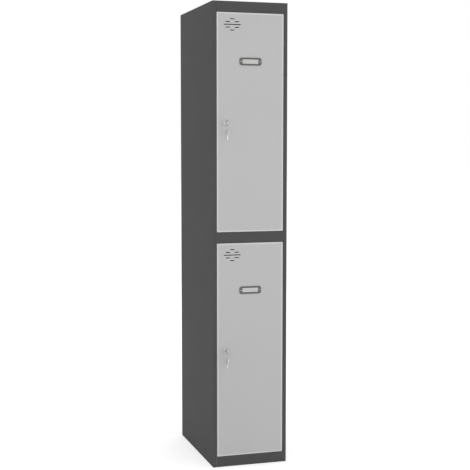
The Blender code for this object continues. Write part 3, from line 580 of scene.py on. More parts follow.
# %% Plastics, rubber and card
def moulded(name, level, paler_grey, gloss, grain, depth):
    """A moulded plastic or rubber: its grey, its worn grey, its roughness and its grain."""
    skin = Finish(name)
    slow = skin.noise(60.0, 3.0)
    tooth = skin.noise(grain, 2.0, 0.6)
    lighter_edges = skin.edges(0.0004) * slow.steps(0.38, 0.62)
    colour = skin.blend(grey(level), grey(paler_grey), lighter_edges * 0.5 + (slow - 0.3) * 0.12)
    rough = gloss + (tooth - 0.5) * 0.15 + (slow - 0.5) * 0.08
    normal = skin.bump(tooth, depth, 0.6)
    return skin.set(Base_Color=colour, Roughness=rough, Normal=normal)


HOLDER_GREY = moulded("holder_grey", 0.084, 0.170, 0.42, 2600.0, 0.00003)
BLACK_NYLON = moulded("black_nylon", 0.018, 0.060, 0.40, 1800.0, 0.00001)
BLACK_RUBBER = moulded("black_rubber", 0.014, 0.050, 0.78, 1500.0, 0.00003)

paper = Finish("card_white")
fibre = paper.noise(1.0, 4.0, 0.7, paper.stretched((900.0, 2400.0, 1900.0)))
cloud = paper.noise(120.0, 2.0)
mottle = (fibre - 0.5) * 0.10 + (cloud - 0.5) * 0.04 + 1.0
CARD_WHITE = paper.set(
    Base_Color=paper.toned((0.570, 0.568, 0.556), mottle),
    Roughness=0.82 + (fibre - 0.5) * 0.12,
    Normal=paper.bump(fibre, 0.00003, 0.5),
)
print("soft finishes:", HOLDER_GREY.name, BLACK_NYLON.name, BLACK_RUBBER.name, CARD_WHITE.name)

# %% [markdown]
# A finished piece gets the material of its finish, is hung on an empty for the CAD body it rides
# on, and the CAD pieces that it stands for are hidden. What comes once to each tier is modelled at
# the lower tier and copied to the upper one.

# %% Fitting a piece to the frame
MATERIALS = {
    "carcass_grey": CARCASS_GREY,
    "door_grey": DOOR_GREY,
    "holder_grey": HOLDER_GREY,
    "card_white": CARD_WHITE,
    "nickel": NICKEL,
    "highlight_nickel": HIGHLIGHT_NICKEL,
    "zinc": ZINC,
    "black_rubber": BLACK_RUBBER,
    "black_nylon": BLACK_NYLON,
}


def dress(piece, finish, body, *nodes):
    """Gives a finished piece its material and its body, and hides the CAD pieces that it replaces.
    """
    piece.data.materials.clear()
    piece.data.materials.append(MATERIALS[finish])
    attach(piece, body)
    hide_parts(*nodes)
    piece.data.calc_loop_triangles()
    print(f"{piece.name}: {len(piece.data.loop_triangles)} triangles, on {body}")


def dress_tiers(piece, name, finish, body, *nodes):
    """Fits a piece to the lower tier, and a copy of it to the upper one."""
    piece.name = f"lower_{name}"
    upper = repeat(piece, f"upper_{name}", (0, 0, PITCH))
    for tier, part in (("lower", piece), ("upper", upper)):
        home = body if body == "cabinet" else f"{tier}_{body}"
        dress(part, finish, home, *[f"{tier}_{node}" for node in nodes])


# %% [markdown]
# Spot welds leave shallow round dishes where the electrodes pressed the sheet, and the powder coat
# only softens them. They could be painted as bump alone, but then a close view or an exported mesh
# would have none. So one small turned cutter is repeated by the Array modifier and cut once.

# %% Spot welds
WELD_RADIUS = 0.0026
WELD_DEPTH = 0.00014
DISH = (
    (0, -WELD_DEPTH),
    (WELD_RADIUS * 0.55, -WELD_DEPTH * 0.95),
    (WELD_RADIUS * 0.85, -WELD_DEPTH * 0.45),
    (WELD_RADIUS, WELD_DEPTH * 0.1),
    (WELD_RADIUS, OVERRUN),
    (0, OVERRUN),
)


def weld_marks(place, axis, way, *rows):
    """A cutter for rows of dishes: `way` points out of the sheet; a row is a count and a step."""
    dish = turn("weld_marks", place, axis, facing(way, DISH), steps=16)
    for count, step in rows:
        apply_modifier(
            dish,
            "ARRAY",
            count=count,
            use_relative_offset=False,
            use_constant_offset=True,
            constant_offset_displace=step,
        )
    return dish


# %% [markdown]
# Each side of the cabinet is one sheet, folded in a press brake: a flange at the rear, the big
# flat side, the narrow stile that shows beside the doors, and a lip behind the stile that makes it
# stiff. By hand: a box with its ends and its inner face deleted gives the first three faces, and
# the stile's free edge is drawn back and then aside for the lip. The bends are rounded before the
# sheet gets its thickness, so that they have an even wall.

# %% Side panels
PAN_HALF = shelf_high.x
ROOF_SEAT = HEIGHT - SHEET + FIT / 2
BEHIND_LIP = FRONT + STOP + SHEET + FIT
PAN_WELDS = ((5, (0, 0.095, 0)), (3, (0, 0, PITCH)))
PAN_WELD_INSET = 0.060
FLANGE_WELDS = (11, (0, 0, 0.159))
FLANGE_WELD_START = 0.105


def folded_side(name, side, lip):
    """A side panel: its outer faces, rounded and given thickness. `side` is -1 for the left."""
    inner = side * (HALF_WIDTH - STILE)
    panel = add_box(name, (side * HALF_WIDTH, FRONT, 0), (inner, REAR, HEIGHT))
    edit(panel)
    pick("FACE", lambda face: abs(face.normal.z) > 0.5 or face.normal.x * side < -0.5)
    bpy.ops.mesh.delete(type="FACE")
    pick("EDGE", lambda edge: near(middle(edge).x, inner) and near(middle(edge).y, FRONT))
    extrude(0, STOP, 0)
    extrude(lip, 0, 0)
    leave()
    fold(panel, BEND)
    return panel


def trim_side(panel, side):
    """Ends the stile under the roof's front corners."""
    inner = side * (HALF_WIDTH - STILE - OVERRUN) + (LIP + OVERRUN if side < 0 else 0)
    outer = side * (PAN_HALF + FIT / 2)
    low = (inner, FRONT - OVERRUN, ROOF_SEAT - FIT)
    combine(panel, [add_box("stile_top", low, (outer, BEHIND_LIP, HEIGHT + OVERRUN))])


def side_welds(side):
    """The rows of welds that hold the three pans to a side, and the back to its rear flange."""
    place = (side * HALF_WIDTH, FRONT + PAN_WELD_INSET, RAIL / 2)
    pans = weld_marks(place, "x", side, *PAN_WELDS)
    place = (side * (HALF_WIDTH - STILE / 2), REAR, FLANGE_WELD_START)
    return [pans, weld_marks(place, "y", 1, FLANGE_WELDS)]


left_side = folded_side("left_side", -1, LIP)
trim_side(left_side, -1)
lip_cuts = [
    add_box(
        "lip_cut",
        (left_high.x - LIP - SHEET - OVERRUN, FRONT + STOP - BEND - FIT, level - FIT),
        (left_high.x + OVERRUN, FRONT + STOP + SHEET + OVERRUN, level + RAIL + FIT),
    )
    for level in (0, PITCH, 2 * PITCH)
]
buffer_low, buffer_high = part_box("lower_bottom_buffer")
top_buffer_low, top_buffer_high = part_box("lower_top_buffer")
BUFFER_X = (buffer_low.x + buffer_high.x) / 2
BUFFER_STEM = 0.0017
buffer_levels = [(buffer_low.z + buffer_high.z) / 2, (top_buffer_low.z + top_buffer_high.z) / 2]
holes = [
    add_rod("hole", (BUFFER_X, FRONT + STOP, level + rise), BUFFER_STEM + SEAM, HOLE, "y", 24)
    for level in buffer_levels
    for rise in (0, PITCH)
]
combine(left_side, lip_cuts)
combine(left_side, side_welds(-1))
combine(left_side, holes)
shade(left_side)
dress(left_side, "carcass_grey", "cabinet", "left_side_panel")

right_side = folded_side("right_side", 1, HINGE_LIP)
trim_side(right_side, 1)
combine(right_side, side_welds(1))
shade(right_side)
dress(right_side, "carcass_grey", "cabinet", "right_side_panel")

# %% [markdown]
# The back is a flat sheet between the sides, welded to their rear flanges and to the three pans.
# Flat as it is, it has edges that the powder coat rounds, and the dishes of its welds.

# %% Back
BACK_STEP = 0.065
back_low, back_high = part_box("back_panel")
back = add_box("back_sheet", back_low, back_high)
soften(back, 0.00015)
back_welds = ((4, (BACK_STEP, 0, 0)), (3, (0, 0, PITCH)))
combine(back, [weld_marks((-1.5 * BACK_STEP, back_high.y, RAIL / 2), "y", 1, *back_welds)])
shade(back)
dress(back, "carcass_grey", "cabinet", "back_panel")

# %% [markdown]
# The base, the middle shelf and the roof are three like pans: a flat face up, skirts on four sides
# and lips turned in under them. The front skirts are the rails between the doors. A box is the
# natural start: its lower face is inset by the width of the lips, and the inset face is deleted.
# The front corners are notched for the stiles, and the welded seam beside them is a tenth of a
# millimetre.

# %% Base, middle shelf and roof
BUSH_RADIUS = 0.0040
pin_low, pin_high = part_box("lower_bottom_hinge_pin")
PIVOT = Vector(((pin_low.x + pin_high.x) / 2, (pin_low.y + pin_high.y) / 2, 0))


def tray(name, low, high, lip, open_side):
    """A folded tray: a box whose open side keeps only its lips."""
    pan = add_box(name, low, high)
    edit(pan)
    pick("FACE", lambda face: face.normal.dot(Vector(open_side)) > 0.5)
    bpy.ops.mesh.inset(thickness=lip, use_even_offset=True)
    bpy.ops.mesh.delete(type="FACE")
    leave()
    return pan


def notch(side, top, ceiling):
    """A cutter for a front corner of a pan, where the stile stands."""
    low = (side * (HALF_WIDTH - STILE - SEAM), FRONT - OVERRUN, top - RAIL - OVERRUN)
    return add_box("notch", low, (side * (HALF_WIDTH + OVERRUN), BEHIND_LIP, ceiling))


for level, (name, node) in enumerate(
    (("base_pan", "base_panel"), ("shelf_pan", "middle_shelf"), ("roof_pan", "roof_panel"))
):
    low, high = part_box(node)
    pan = tray(name, low, high, PAN_LIP, (0, 0, -1))
    fold(pan, BEND)
    ceiling = ROOF_SEAT if name == "roof_pan" else high.z + OVERRUN
    cuts = [notch(side, high.z, ceiling) for side in (-1, 1)]
    if level < 2:
        cuts.append(add_rod("hole", (PIVOT.x, PIVOT.y, high.z), BUSH_RADIUS + SEAM, HOLE, "z"))
    if level > 0:
        cuts.append(add_rod("hole", (PIVOT.x, PIVOT.y, low.z), BUSH_RADIUS + SEAM, HOLE, "z"))
    combine(pan, cuts)
    shade(pan)
    dress(pan, "carcass_grey", "cabinet", node)

# %% [markdown]
# Slots, windows and plates all have round corners. Such a shape is a plane whose corners are
# bevelled, drawn out to its depth. For a slot the bevels meet, so that its ends are half round. A
# cutter that leaves a sloped or drawn edge flares at its front: its front face is drawn on once
# more and widened.

# %% Plates with round corners
def round_plate(name, centre, width, height, corner, front, rear, steps=8):
    """A plate that faces the front, with round corners, between two depths."""
    plate = add_plane(name, (centre[0], front, centre[1]), width, height)
    edit(plate)
    take_all()
    bpy.ops.mesh.bevel(offset=corner * 0.999, segments=steps, affect="VERTICES")
    take_all()
    extrude(0, rear - front, 0)
    face_outwards()
    leave()
    return plate


def flare(cutter, centre, width, height, out, depth):
    """Draws the front face of a cutter on, wider by `out` on every side."""
    edit(cutter)
    pick("FACE", lambda face: face.normal.y < -0.9)
    extrude(0, -depth, 0)
    bpy.ops.transform.resize(
        value=((width + 2 * out) / width, 1, (height + 2 * out) / height),
        center_override=(centre[0], FRONT, centre[1]),
    )
    leave()


# %% [markdown]
# A door is a shallow tray with its face to the front. Its bends are rounder than the cabinet's,
# which is why a door catches a thin line of light all round; its powder coat adds a painted
# highlight there. The seven slots are punched, and a punch draws the edge of the sheet in a
# little, so each slot's cutter flares at the front.

# %% Doors
SLOT_HEIGHT = 0.0034
SLOT = 0.018
LONG_SLOT = 0.068
SLOT_ROW = 0.0106
DRAWN = 0.00025  # how far a slot's edge is drawn in
VENT = (door_low.x + 0.062, door_high.z - 0.046)  # the middle of the long slot
BARREL = 0.0080
FLATS = 0.0142
RIVET_HOLE = 0.0013
PIN_HOLE = 0.0027
frame_low, frame_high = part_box("lower_card_holder")
HOLDER_Z = (frame_low.z + frame_high.z) / 2
rivet_low, rivet_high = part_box("lower_holder_rivet_right")
RIVET_X = (rivet_low.x + rivet_high.x) / 2


def slot_cutter(centre, length):
    """A slot's cutter, with its drawn edge."""
    front, rear = FRONT + DRAWN, FRONT + SHEET + OVERRUN
    cutter = round_plate("slot", centre, length, SLOT_HEIGHT, SLOT_HEIGHT / 2, front, rear)
    flare(cutter, centre, length, SLOT_HEIGHT, DRAWN, DRAWN + SEAM)
    return cutter


def rivet_holes(length):
    """Cutters for the two rivets of a card holder."""
    return [
        add_rod("hole", (side * RIVET_X, FRONT, HOLDER_Z), RIVET_HOLE, length, "y")
        for side in (-1, 1)
    ]


door = tray("lower_door_pan", door_low, door_high, DOOR_LIP, (0, 1, 0))
fold(door, DOOR_BEND)
slots = [slot_cutter(VENT, LONG_SLOT)]
for way in (-1, 1):
    slots.append(slot_cutter((VENT[0], VENT[1] + way * 2 * SLOT_ROW), SLOT))
    for side in (-1, 1):
        slots.append(slot_cutter((VENT[0] + side * SLOT, VENT[1] + way * SLOT_ROW), SLOT))
combine(door, slots)
lock_hole = add_rod("lock_hole", (KEY_X, FRONT, DOOR_MIDDLE), BARREL + SEAM, HOLE, "y", 48)
half = FLATS / 2 + SEAM
past = BARREL + OVERRUN
flats = add_box(
    "flats",
    (KEY_X - half, FRONT - past, DOOR_MIDDLE - past),
    (KEY_X + half, FRONT + past, DOOR_MIDDLE + past),
)
combine(lock_hole, [flats], "INTERSECT")
pin_holes = [
    add_rod("hole", (PIVOT.x, PIVOT.y, level), PIN_HOLE, HOLE, "z")
    for level in (door_low.z, door_high.z)
]
combine(door, [lock_hole, *rivet_holes(HOLE), *pin_holes])
shade(door)
dress_tiers(door, "door_pan", "door_grey", "door_set", "door")

# %% [markdown]
# Down the inside of each door runs a stiffener, a hat section of the same sheet, welded by its two
# flanges. A plane is the top of the hat, and its two long edges are drawn down and then out.

# %% Door stiffeners
HAT_TOP = 0.016
HAT_BASE = 0.022
HAT_BEND = 0.0010
HAT_WELDS = (8, (0, 0, 0.105))
HAT_WELD_START = 0.030
hat_low, hat_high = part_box("lower_door_stiffener")
hat_front = hat_high.y - SHEET
hat_middle = (hat_low.z + hat_high.z) / 2
hat = add_plane("lower_hat", (0, hat_front, hat_middle), 2 * HAT_TOP, hat_high.z - hat_low.z)
edit(hat)
for side in (-1, 1):
    pick("EDGE", lambda edge: near(middle(edge).x, side * HAT_TOP))
    extrude(side * (HAT_BASE - HAT_TOP), hat_low.y - hat_front, 0)
    extrude(side * (hat_high.x - HAT_BASE), 0, 0)
leave()
fold(hat, HAT_BEND)
flange_x = (HAT_BASE + hat_high.x) / 2
place = (-flange_x, hat_low.y + SHEET, hat_low.z + HAT_WELD_START)
combine(hat, [weld_marks(place, "y", 1, (2, (2 * flange_x, 0, 0)), HAT_WELDS)])
shade(hat)
dress_tiers(hat, "hat_stiffener", "door_grey", "door_set", "door_stiffener")

# %% [markdown]
# The card holder is a moulded frame with round ends. Its face steps down a little inside a rim,
# the window's edge slopes towards the card, and a pocket behind it is open at the top, where the
# card goes in. A plane with bevelled corners is drawn out for it, and the steps are insets.

# %% Card holders
WINDOW = (0.064, 0.0165)
WINDOW_CORNER = 0.0015
WINDOW_SLOPE = 0.0009
HOLDER_CORNER = 0.009
HOLDER_EDGE = 0.0006
HOLDER_RIM = 0.0013
HOLDER_STEP = 0.00025
POCKET_HALF = 0.0335
POCKET_BELOW = 0.00975
POCKET_DEEP = 0.0011
centre = (0, HOLDER_Z)
size = (frame_high.x - frame_low.x, frame_high.z - frame_low.z)
holder = round_plate(
    "card_frame", centre, *size, HOLDER_CORNER, frame_low.y, frame_high.y, steps=10
)
soften(holder, HOLDER_EDGE, 3, 50)
edit(holder)
pick("FACE", lambda face: face.normal.y < -0.99 and near(middle(face).y, frame_low.y))
bpy.ops.mesh.inset(thickness=HOLDER_RIM)
bpy.ops.mesh.inset(thickness=HOLDER_STEP, depth=-HOLDER_STEP)
leave()
window_front = frame_low.y + HOLDER_STEP + WINDOW_SLOPE
window = round_plate(
    "window", centre, *WINDOW, WINDOW_CORNER, window_front, FRONT + OVERRUN, steps=4
)
flare(window, centre, *WINDOW, WINDOW_SLOPE, WINDOW_SLOPE + SEAM)
combine(holder, [window])
pocket = add_box(
    "pocket",
    (-POCKET_HALF, FRONT - POCKET_DEEP, HOLDER_Z - POCKET_BELOW),
    (POCKET_HALF, FRONT + OVERRUN, frame_high.z + OVERRUN),
)
combine(holder, [pocket])
combine(holder, rivet_holes(2 * HOLE))
shade(holder)
dress_tiers(holder, "card_frame", "holder_grey", "door_set", "card_holder")

# %% [markdown]
# The card is a strip of board in the pocket, its corners nipped off so that it slides in.

# %% Cards
CARD_CORNER = 0.0015
CARD_THICKNESS = 0.0004
card_low, card_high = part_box("lower_card")
card = round_plate(
    "card_strip",
    (0, (card_low.z + card_high.z) / 2),
    card_high.x - card_low.x,
    card_high.z - card_low.z,
    CARD_CORNER,
    card_low.y,
    card_low.y + CARD_THICKNESS,
    steps=3,
)
soften(card, 0.00006, 1, 50)
shade(card)
dress_tiers(card, "card_strip", "card_white", "door_set", "card")

# %% [markdown]
# Each holder is held by two blind rivets. From the front such a rivet is a low dome with a hole,
# where the stem broke off. Inside the door it's a swollen tail.

# %% Holder rivets
RIVET = (
    (0, -0.00290),
    (0.00065, -0.00290),
    (0.00078, -0.00350),
    (0.00115, -0.00360),
    (0.00165, -0.00351),
    (0.00205, -0.00331),
    (0.00232, -0.00304),
    (0.00240, -0.00280),
    (0.00120, -0.00280),
    (0.00120, 0.00110),
    (0.00185, 0.00112),
    (0.00210, 0.00140),
    (0.00210, 0.00215),
    (0.00175, 0.00262),
    (0.00110, 0.00270),
    (0.00070, 0.00255),
    (0.00066, 0.00215),
    (0, 0.00215),
)
for side, word in ((-1, "left"), (1, "right")):
    rivet = turn("rivet", (side * RIVET_X, FRONT, HOLDER_Z), "y", RIVET, steps=28)
    shade(rivet, 40)
    name = f"holder_rivet_{word}"
    dress_tiers(rivet, name + "_domed", "zinc", "door_set", name)

# %% [markdown]
# A screw thread is a small ridge wound round a rod. Rings side by side look like one only from
# afar. So the ridge's section is drawn with one corner, the Screw modifier sweeps it round and
# along, its two ends are filled, and it is welded to the rod.

# %% Screw threads
RIDGE_SUNK = 0.0002  # how deep the ridge starts in the rod
RIDGE_FLANK = 0.36  # of the pitch
RIDGE_CREST = 0.12
RIDGE_WIDTH = 2 * RIDGE_FLANK + RIDGE_CREST


def thread_ridge(place, root, crest, pitch, start, turns, steps=36):
    """The ridge of a thread along y: its radii, its pitch, where it starts, and its turns."""
    ridge = add_corner("thread")
    move(root - RIDGE_SUNK, start, 0)
    extrude(crest - root + RIDGE_SUNK, RIDGE_FLANK * pitch, 0)
    extrude(0, RIDGE_CREST * pitch, 0)
    extrude(root - RIDGE_SUNK - crest, RIDGE_FLANK * pitch, 0)
    take_all()
    bpy.ops.mesh.edge_face_add()
    bpy.ops.mesh.delete(type="ONLY_FACE")
    leave()
    sweep = {"axis": "Y", "screw_offset": pitch, "iterations": turns}
    apply_modifier(ridge, "SCREW", **sweep, steps=steps, render_steps=steps)
    edit(ridge)
    for end in (start, start + turns * pitch):
        low, high = end - SEAM, end + RIDGE_WIDTH * pitch + SEAM
        pick("EDGE", lambda edge: edge.is_boundary and low < middle(edge).y < high)
        bpy.ops.mesh.edge_face_add()
    face_outwards()
    leave()
    ridge.location = place
    return settle(ridge, "thread")


# %% [markdown]
# The lock is a cam lock. Its housing is turned: a round bezel on the door's face, and behind it a
# threaded barrel with two flats, which keep it from turning in the door's hole. The flats are cut
# from the thread afterwards, as on the real one, so each ridge of the thread ends square.

# %% Lock housings
LOCK = Vector((KEY_X, FRONT, DOOR_MIDDLE))
BORE = 0.0058
BARREL_END = 0.0213
THREAD = 0.0010
THREAD_START = 0.0007
ROOT = BARREL - 0.0005
BEZEL = 0.0100
BEZEL_FACE = -0.0033
BEZEL_INNER = 0.0071
SEAT = -0.0015
HOUSING = (
    (BORE, BARREL_END),
    (ROOT - 0.0002, BARREL_END),
    (ROOT, BARREL_END - 0.0002),
    (ROOT, -FIT),
    (BEZEL - 0.0002, -FIT),
    (BEZEL, -FIT - 0.0002),
    (BEZEL, -0.0020),
    (BEZEL - 0.00012, -0.0024),
    (BEZEL - 0.00036, -0.00278),
    (BEZEL - 0.00074, -0.00310),
    (BEZEL - 0.00120, BEZEL_FACE),
    (0.00745, BEZEL_FACE),
    (BEZEL_INNER, BEZEL_FACE + 0.0003),
    (BEZEL_INNER, SEAT),
    (BORE, SEAT),
    (BORE, BARREL_END),
)
housing = turn("housing", LOCK, "y", HOUSING, steps=64)
turns = int((BARREL_END - THREAD) / THREAD) - 1
combine(housing, [thread_ridge(LOCK, ROOT, BARREL, THREAD, THREAD_START, turns)], "UNION")
flats = [
    add_box(
        "flat",
        LOCK + Vector((side * FLATS / 2, 0, -past)),
        LOCK + Vector((side * past, BARREL_END + OVERRUN, past)),
    )
    for side in (-1, 1)
]
combine(housing, flats)
shade(housing, 32)
dress_tiers(housing, "cam_lock_housing", "nickel", "door_set", "lock_housing")

# %% [markdown]
# A hexagon nut clamps the housing to the door. The curved edges of a real nut come from turning a
# hexagon bar in a lathe, so here too a six-sided rod is crossed with a turned shape that has both
# chamfers, and only what both fill is kept.

# %% Lock nuts
NUT_CHAMFER = 0.0008
NUT_MOUTH = 0.0090
nut_low, nut_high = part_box("lower_lock_nut")
NUT_CORNER = (nut_high.z - nut_low.z) / 2
nut_depth = nut_high.y - nut_low.y
nut_middle = Vector((LOCK.x, (nut_low.y + nut_high.y) / 2, LOCK.z))
nut = add_rod("nut", nut_middle, NUT_CORNER, nut_depth, "y", 6)
half = nut_depth / 2
lens = (
    (0, -half),
    (NUT_CORNER - 2 * NUT_CHAMFER, -half),
    (NUT_CORNER + SEAM, -half + NUT_CHAMFER),
    (NUT_CORNER + SEAM, half - NUT_CHAMFER),
    (NUT_CORNER - 2 * NUT_CHAMFER, half),
    (0, half),
)
combine(nut, [turn("nut_chamfers", nut_middle, "y", lens, steps=96)], "INTERSECT")
mouth = (
    (0, -half - OVERRUN),
    (NUT_MOUTH, -half - OVERRUN),
    (NUT_MOUTH, -half),
    (BARREL + SEAM, -half + NUT_CHAMFER),
    (BARREL + SEAM, half - NUT_CHAMFER),
    (NUT_MOUTH, half),
    (NUT_MOUTH, half + OVERRUN),
    (0, half + OVERRUN),
)
combine(nut, [turn("nut_hole", nut_middle, "y", mouth)])
shade(nut, 25)
dress_tiers(nut, "hexagon_nut", "zinc", "door_set", "lock_nut")

# %% [markdown]
# The plug turns in the housing. In front it's a round face with a keyway whose edges are eased,
# and behind it ends in a square tang that carries the cam.

# %% Lock plugs
plug_low, plug_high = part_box("lower_lock_plug")
PLUG_FACE = plug_low.y - FRONT
CAM_BACK = plug_high.y - FRONT
PLUG_HEAD = 0.0068
PLUG_NECK = PLUG_FACE + 0.0014
PLUG_DISH = PLUG_FACE + 0.00015
PLUG = 0.0055
TANG = 0.0034
KEYWAY = (0.0026, 0.0070)
KEYWAY_CORNER = 0.0004
KEYWAY_EASE = 0.0003
KEYWAY_DEEP = 0.0178
SCREW = 0.0017
SCREW_HOLE = 0.0076
PLUG_OUTLINE = (
    (0, BARREL_END),
    (PLUG - 0.0003, BARREL_END),
    (PLUG, BARREL_END - 0.0003),
    (PLUG, PLUG_NECK),
    (PLUG_HEAD, PLUG_NECK),
    (PLUG_HEAD, PLUG_FACE + 0.00030),
    (PLUG_HEAD - 0.00010, PLUG_FACE + 0.00010),
    (PLUG_HEAD - 0.00035, PLUG_FACE),
    (0.0056, PLUG_FACE),
    (0.0054, PLUG_DISH),
    (0, PLUG_DISH),
)
core = turn("plug", LOCK, "y", PLUG_OUTLINE, steps=64)
tang = add_box(
    "tang",
    LOCK + Vector((-TANG, BARREL_END - OVERRUN, -TANG)),
    LOCK + Vector((TANG, CAM_BACK, TANG)),
)
soften(tang, 0.0002)
combine(core, [tang], "UNION")
centre = (LOCK.x, LOCK.z)
front = FRONT + PLUG_FACE + 0.0005
rear = FRONT + PLUG_FACE + KEYWAY_DEEP
keyway = round_plate("keyway", centre, *KEYWAY, KEYWAY_CORNER, front, rear, steps=3)
flare(keyway, centre, *KEYWAY, KEYWAY_EASE, 2 * KEYWAY_EASE)
combine(core, [keyway])
hole_middle = LOCK + Vector((0, CAM_BACK - 0.0035, 0))
combine(core, [add_rod("hole", hole_middle, SCREW + SEAM, SCREW_HOLE, "y")])
shade(core, 32)
dress_tiers(core, "cam_lock_plug", "nickel", "lock_core", "lock_plug")

# %% [markdown]
# The cam is stamped from 2 mm steel: a round hub with a square hole, and an arm with a round end.
# Stamping leaves its edges slightly round.

# %% Lock cams
CAM_WIDTH = 0.0130
cam_low, cam_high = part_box("lower_lock_cam")
cam_depths = (cam_low.y, cam_high.y)
cam_middle = Vector((LOCK.x, sum(cam_depths) / 2, LOCK.z))
cam = add_rod("cam", cam_middle, cam_high.z - LOCK.z, cam_high.y - cam_low.y, "y", 64)
arm_size = (CAM_WIDTH, LOCK.z - cam_low.z)
arm_centre = (LOCK.x, LOCK.z - arm_size[1] / 2)
arm = round_plate("arm", arm_centre, *arm_size, CAM_WIDTH / 2, *cam_depths, steps=12)
combine(cam, [arm], "UNION")
reach = Vector((TANG + SEAM, HOLE, TANG + SEAM))
combine(cam, [add_box("square", cam_middle - reach, cam_middle + reach)])
soften(cam, 0.00025, 2, 50)
shade(cam)
dress_tiers(cam, "stamped_cam", "zinc", "lock_core", "lock_cam")

# %% [markdown]
# A pan-head screw holds the cam. Its cross recess is cut by two tapered blades.

# %% Cam screws
screw_low, screw_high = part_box("lower_cam_screw")
UNDER = CAM_BACK + FIT
HEAD = screw_high.y - FRONT
HEAD_RADIUS = (screw_high.x - screw_low.x) / 2
SCREW_END = screw_low.y - FRONT
SCREW_ROOT = SCREW - 0.00025
SCREW_PITCH = 0.0007
CROSS_LONG = 0.0040
CROSS_WIDE = 0.0008
CROSS_CORNER = 0.0002
CROSS_DEEP = 0.0012
SCREW_OUTLINE = (
    (0, HEAD),
    (HEAD_RADIUS * 0.45, HEAD),
    (HEAD_RADIUS * 0.70, HEAD - 0.00018),
    (HEAD_RADIUS * 0.88, HEAD - 0.00055),
    (HEAD_RADIUS * 0.97, HEAD - 0.00100),
    (HEAD_RADIUS, HEAD - 0.00150),
    (HEAD_RADIUS, UNDER + 0.0002),
    (HEAD_RADIUS - 0.0002, UNDER),
    (SCREW, UNDER),
    (SCREW, UNDER - 0.0004),
    (SCREW_ROOT, UNDER - 0.0007),
    (SCREW_ROOT, SCREW_END + 0.0004),
    (SCREW_ROOT - 0.0003, SCREW_END),
    (0, SCREW_END),
)
screw = turn("screw", LOCK, "y", SCREW_OUTLINE, steps=40)
turns = int((UNDER - SCREW_END - 0.0012) / SCREW_PITCH) - 1
start = SCREW_END + 0.0003
combine(screw, [thread_ridge(LOCK, SCREW_ROOT, SCREW, SCREW_PITCH, start, turns, 24)], "UNION")
depths = (FRONT + HEAD - CROSS_DEEP, FRONT + HEAD + 0.0005)
for sides in ((CROSS_LONG, CROSS_WIDE), (CROSS_WIDE, CROSS_LONG)):
    blade = round_plate("blade", (LOCK.x, LOCK.z), *sides, CROSS_CORNER, *depths, steps=2)
    edit(blade)
    pick("FACE", lambda face: face.normal.y < -0.9)
    bpy.ops.transform.resize(value=(0.5, 1, 0.5), center_override=LOCK)
    leave()
    combine(screw, [blade])
shade(screw, 35)
dress_tiers(screw, "cross_head_screw", "zinc", "lock_core", "cam_screw")

# %% [markdown]
# The key starts as a disc for its bow. The few edges of the disc that face the lock are drawn out
# and flattened into the neck, and drawn on a hair as the blade narrows. The blade is then drawn on
# in short steps, and at each step its upper corner is lowered by the depth of the cut there, as a
# key cutter works along a blank. Its tip is drawn to a point that lies a little low.

# %% Key outline
BOW = (key_high.z - key_low.z) / 2
BOW_Y = key_low.y + BOW
KEY_BACK = key_low.x
SHOULDER = BOW_Y + BOW + 0.0035
TIP = key_high.y
NECK_HALF = 0.0049
BLANK_HALF = 0.0034
BLADE_HALF = 0.0032
EASE = 0.0002
CUT = 0.0011
CUT_SHARES = (0.5, 0.8, 0.4, 1.0, 0.6)  # of the deepest cut
CUT_SHAPE = ((0.12, 0), (0.42, 1), (0.58, 1), (0.88, 0))
CORNER_ROOM = 0.0002
TIP_SHARE = 0.225
TIP_BELOW = 0.0009


def squeeze(y, along, up, below=0.0):
    """Scales what is selected along the key and up it, about a point at y on its middle line."""
    point = (KEY_BACK, y, KEY_Z - below)
    bpy.ops.transform.resize(value=(1, along, up), center_override=point)


def pick_end(y, half):
    """Picks the edges at the end of the blade, as it is so far."""
    pick("EDGE", lambda edge: near(middle(edge).y, y) and abs(middle(edge).z - KEY_Z) < half)


bpy.ops.mesh.primitive_circle_add(
    vertices=40,
    radius=BOW,
    fill_type="NGON",
    location=(KEY_BACK, BOW_Y, KEY_Z),
    rotation=TURNS["x"],
)
key = settle(bpy.context.object, "key")
edit(key)
pick("EDGE", lambda edge: middle(edge).y > BOW_Y and abs(middle(edge).z - KEY_Z) < NECK_HALF)
extrude(0, 0.004, 0)  # any length, because the squeeze flattens it at the shoulder
squeeze(SHOULDER, 0, 1)
pick_end(SHOULDER, BLANK_HALF)
extrude(0, EASE, 0)
squeeze(SHOULDER, 1, BLADE_HALF / BLANK_HALF)
pitch = (TIP - SHOULDER - 2 * BLADE_HALF) / len(CUT_SHARES)
stations = [
    (SHOULDER + BLADE_HALF + (number + along) * pitch, share * deep * CUT)
    for number, share in enumerate(CUT_SHARES)
    for along, deep in CUT_SHAPE
]
stations.append((TIP - BLADE_HALF, 0.0))
row, lowered = SHOULDER + EASE, 0.0
for place, depth in stations:
    pick_end(row, BLADE_HALF)
    extrude(0, place - row, 0)
    top = KEY_Z + BLADE_HALF - lowered
    pick(
        "VERT",
        lambda corner: near(corner.co.y, place) and near(corner.co.z, top, CORNER_ROOM),
    )
    move(0, 0, lowered - depth)
    row, lowered = place, depth
pick_end(row, BLADE_HALF)
extrude(0, BLADE_HALF, 0)
squeeze(TIP, 1, TIP_SHARE, TIP_BELOW)
merge_doubles(2 * DOUBLES)

# %% [markdown]
# The outline is drawn out to the thickness of the key. Two insets on each side leave the raised
# rim of the bow. The bow's hole is cut by a turned shape, wider at its mouths, and a box cuts the
# groove along each side of the blade. The spare key is a copy, hung by its bow.

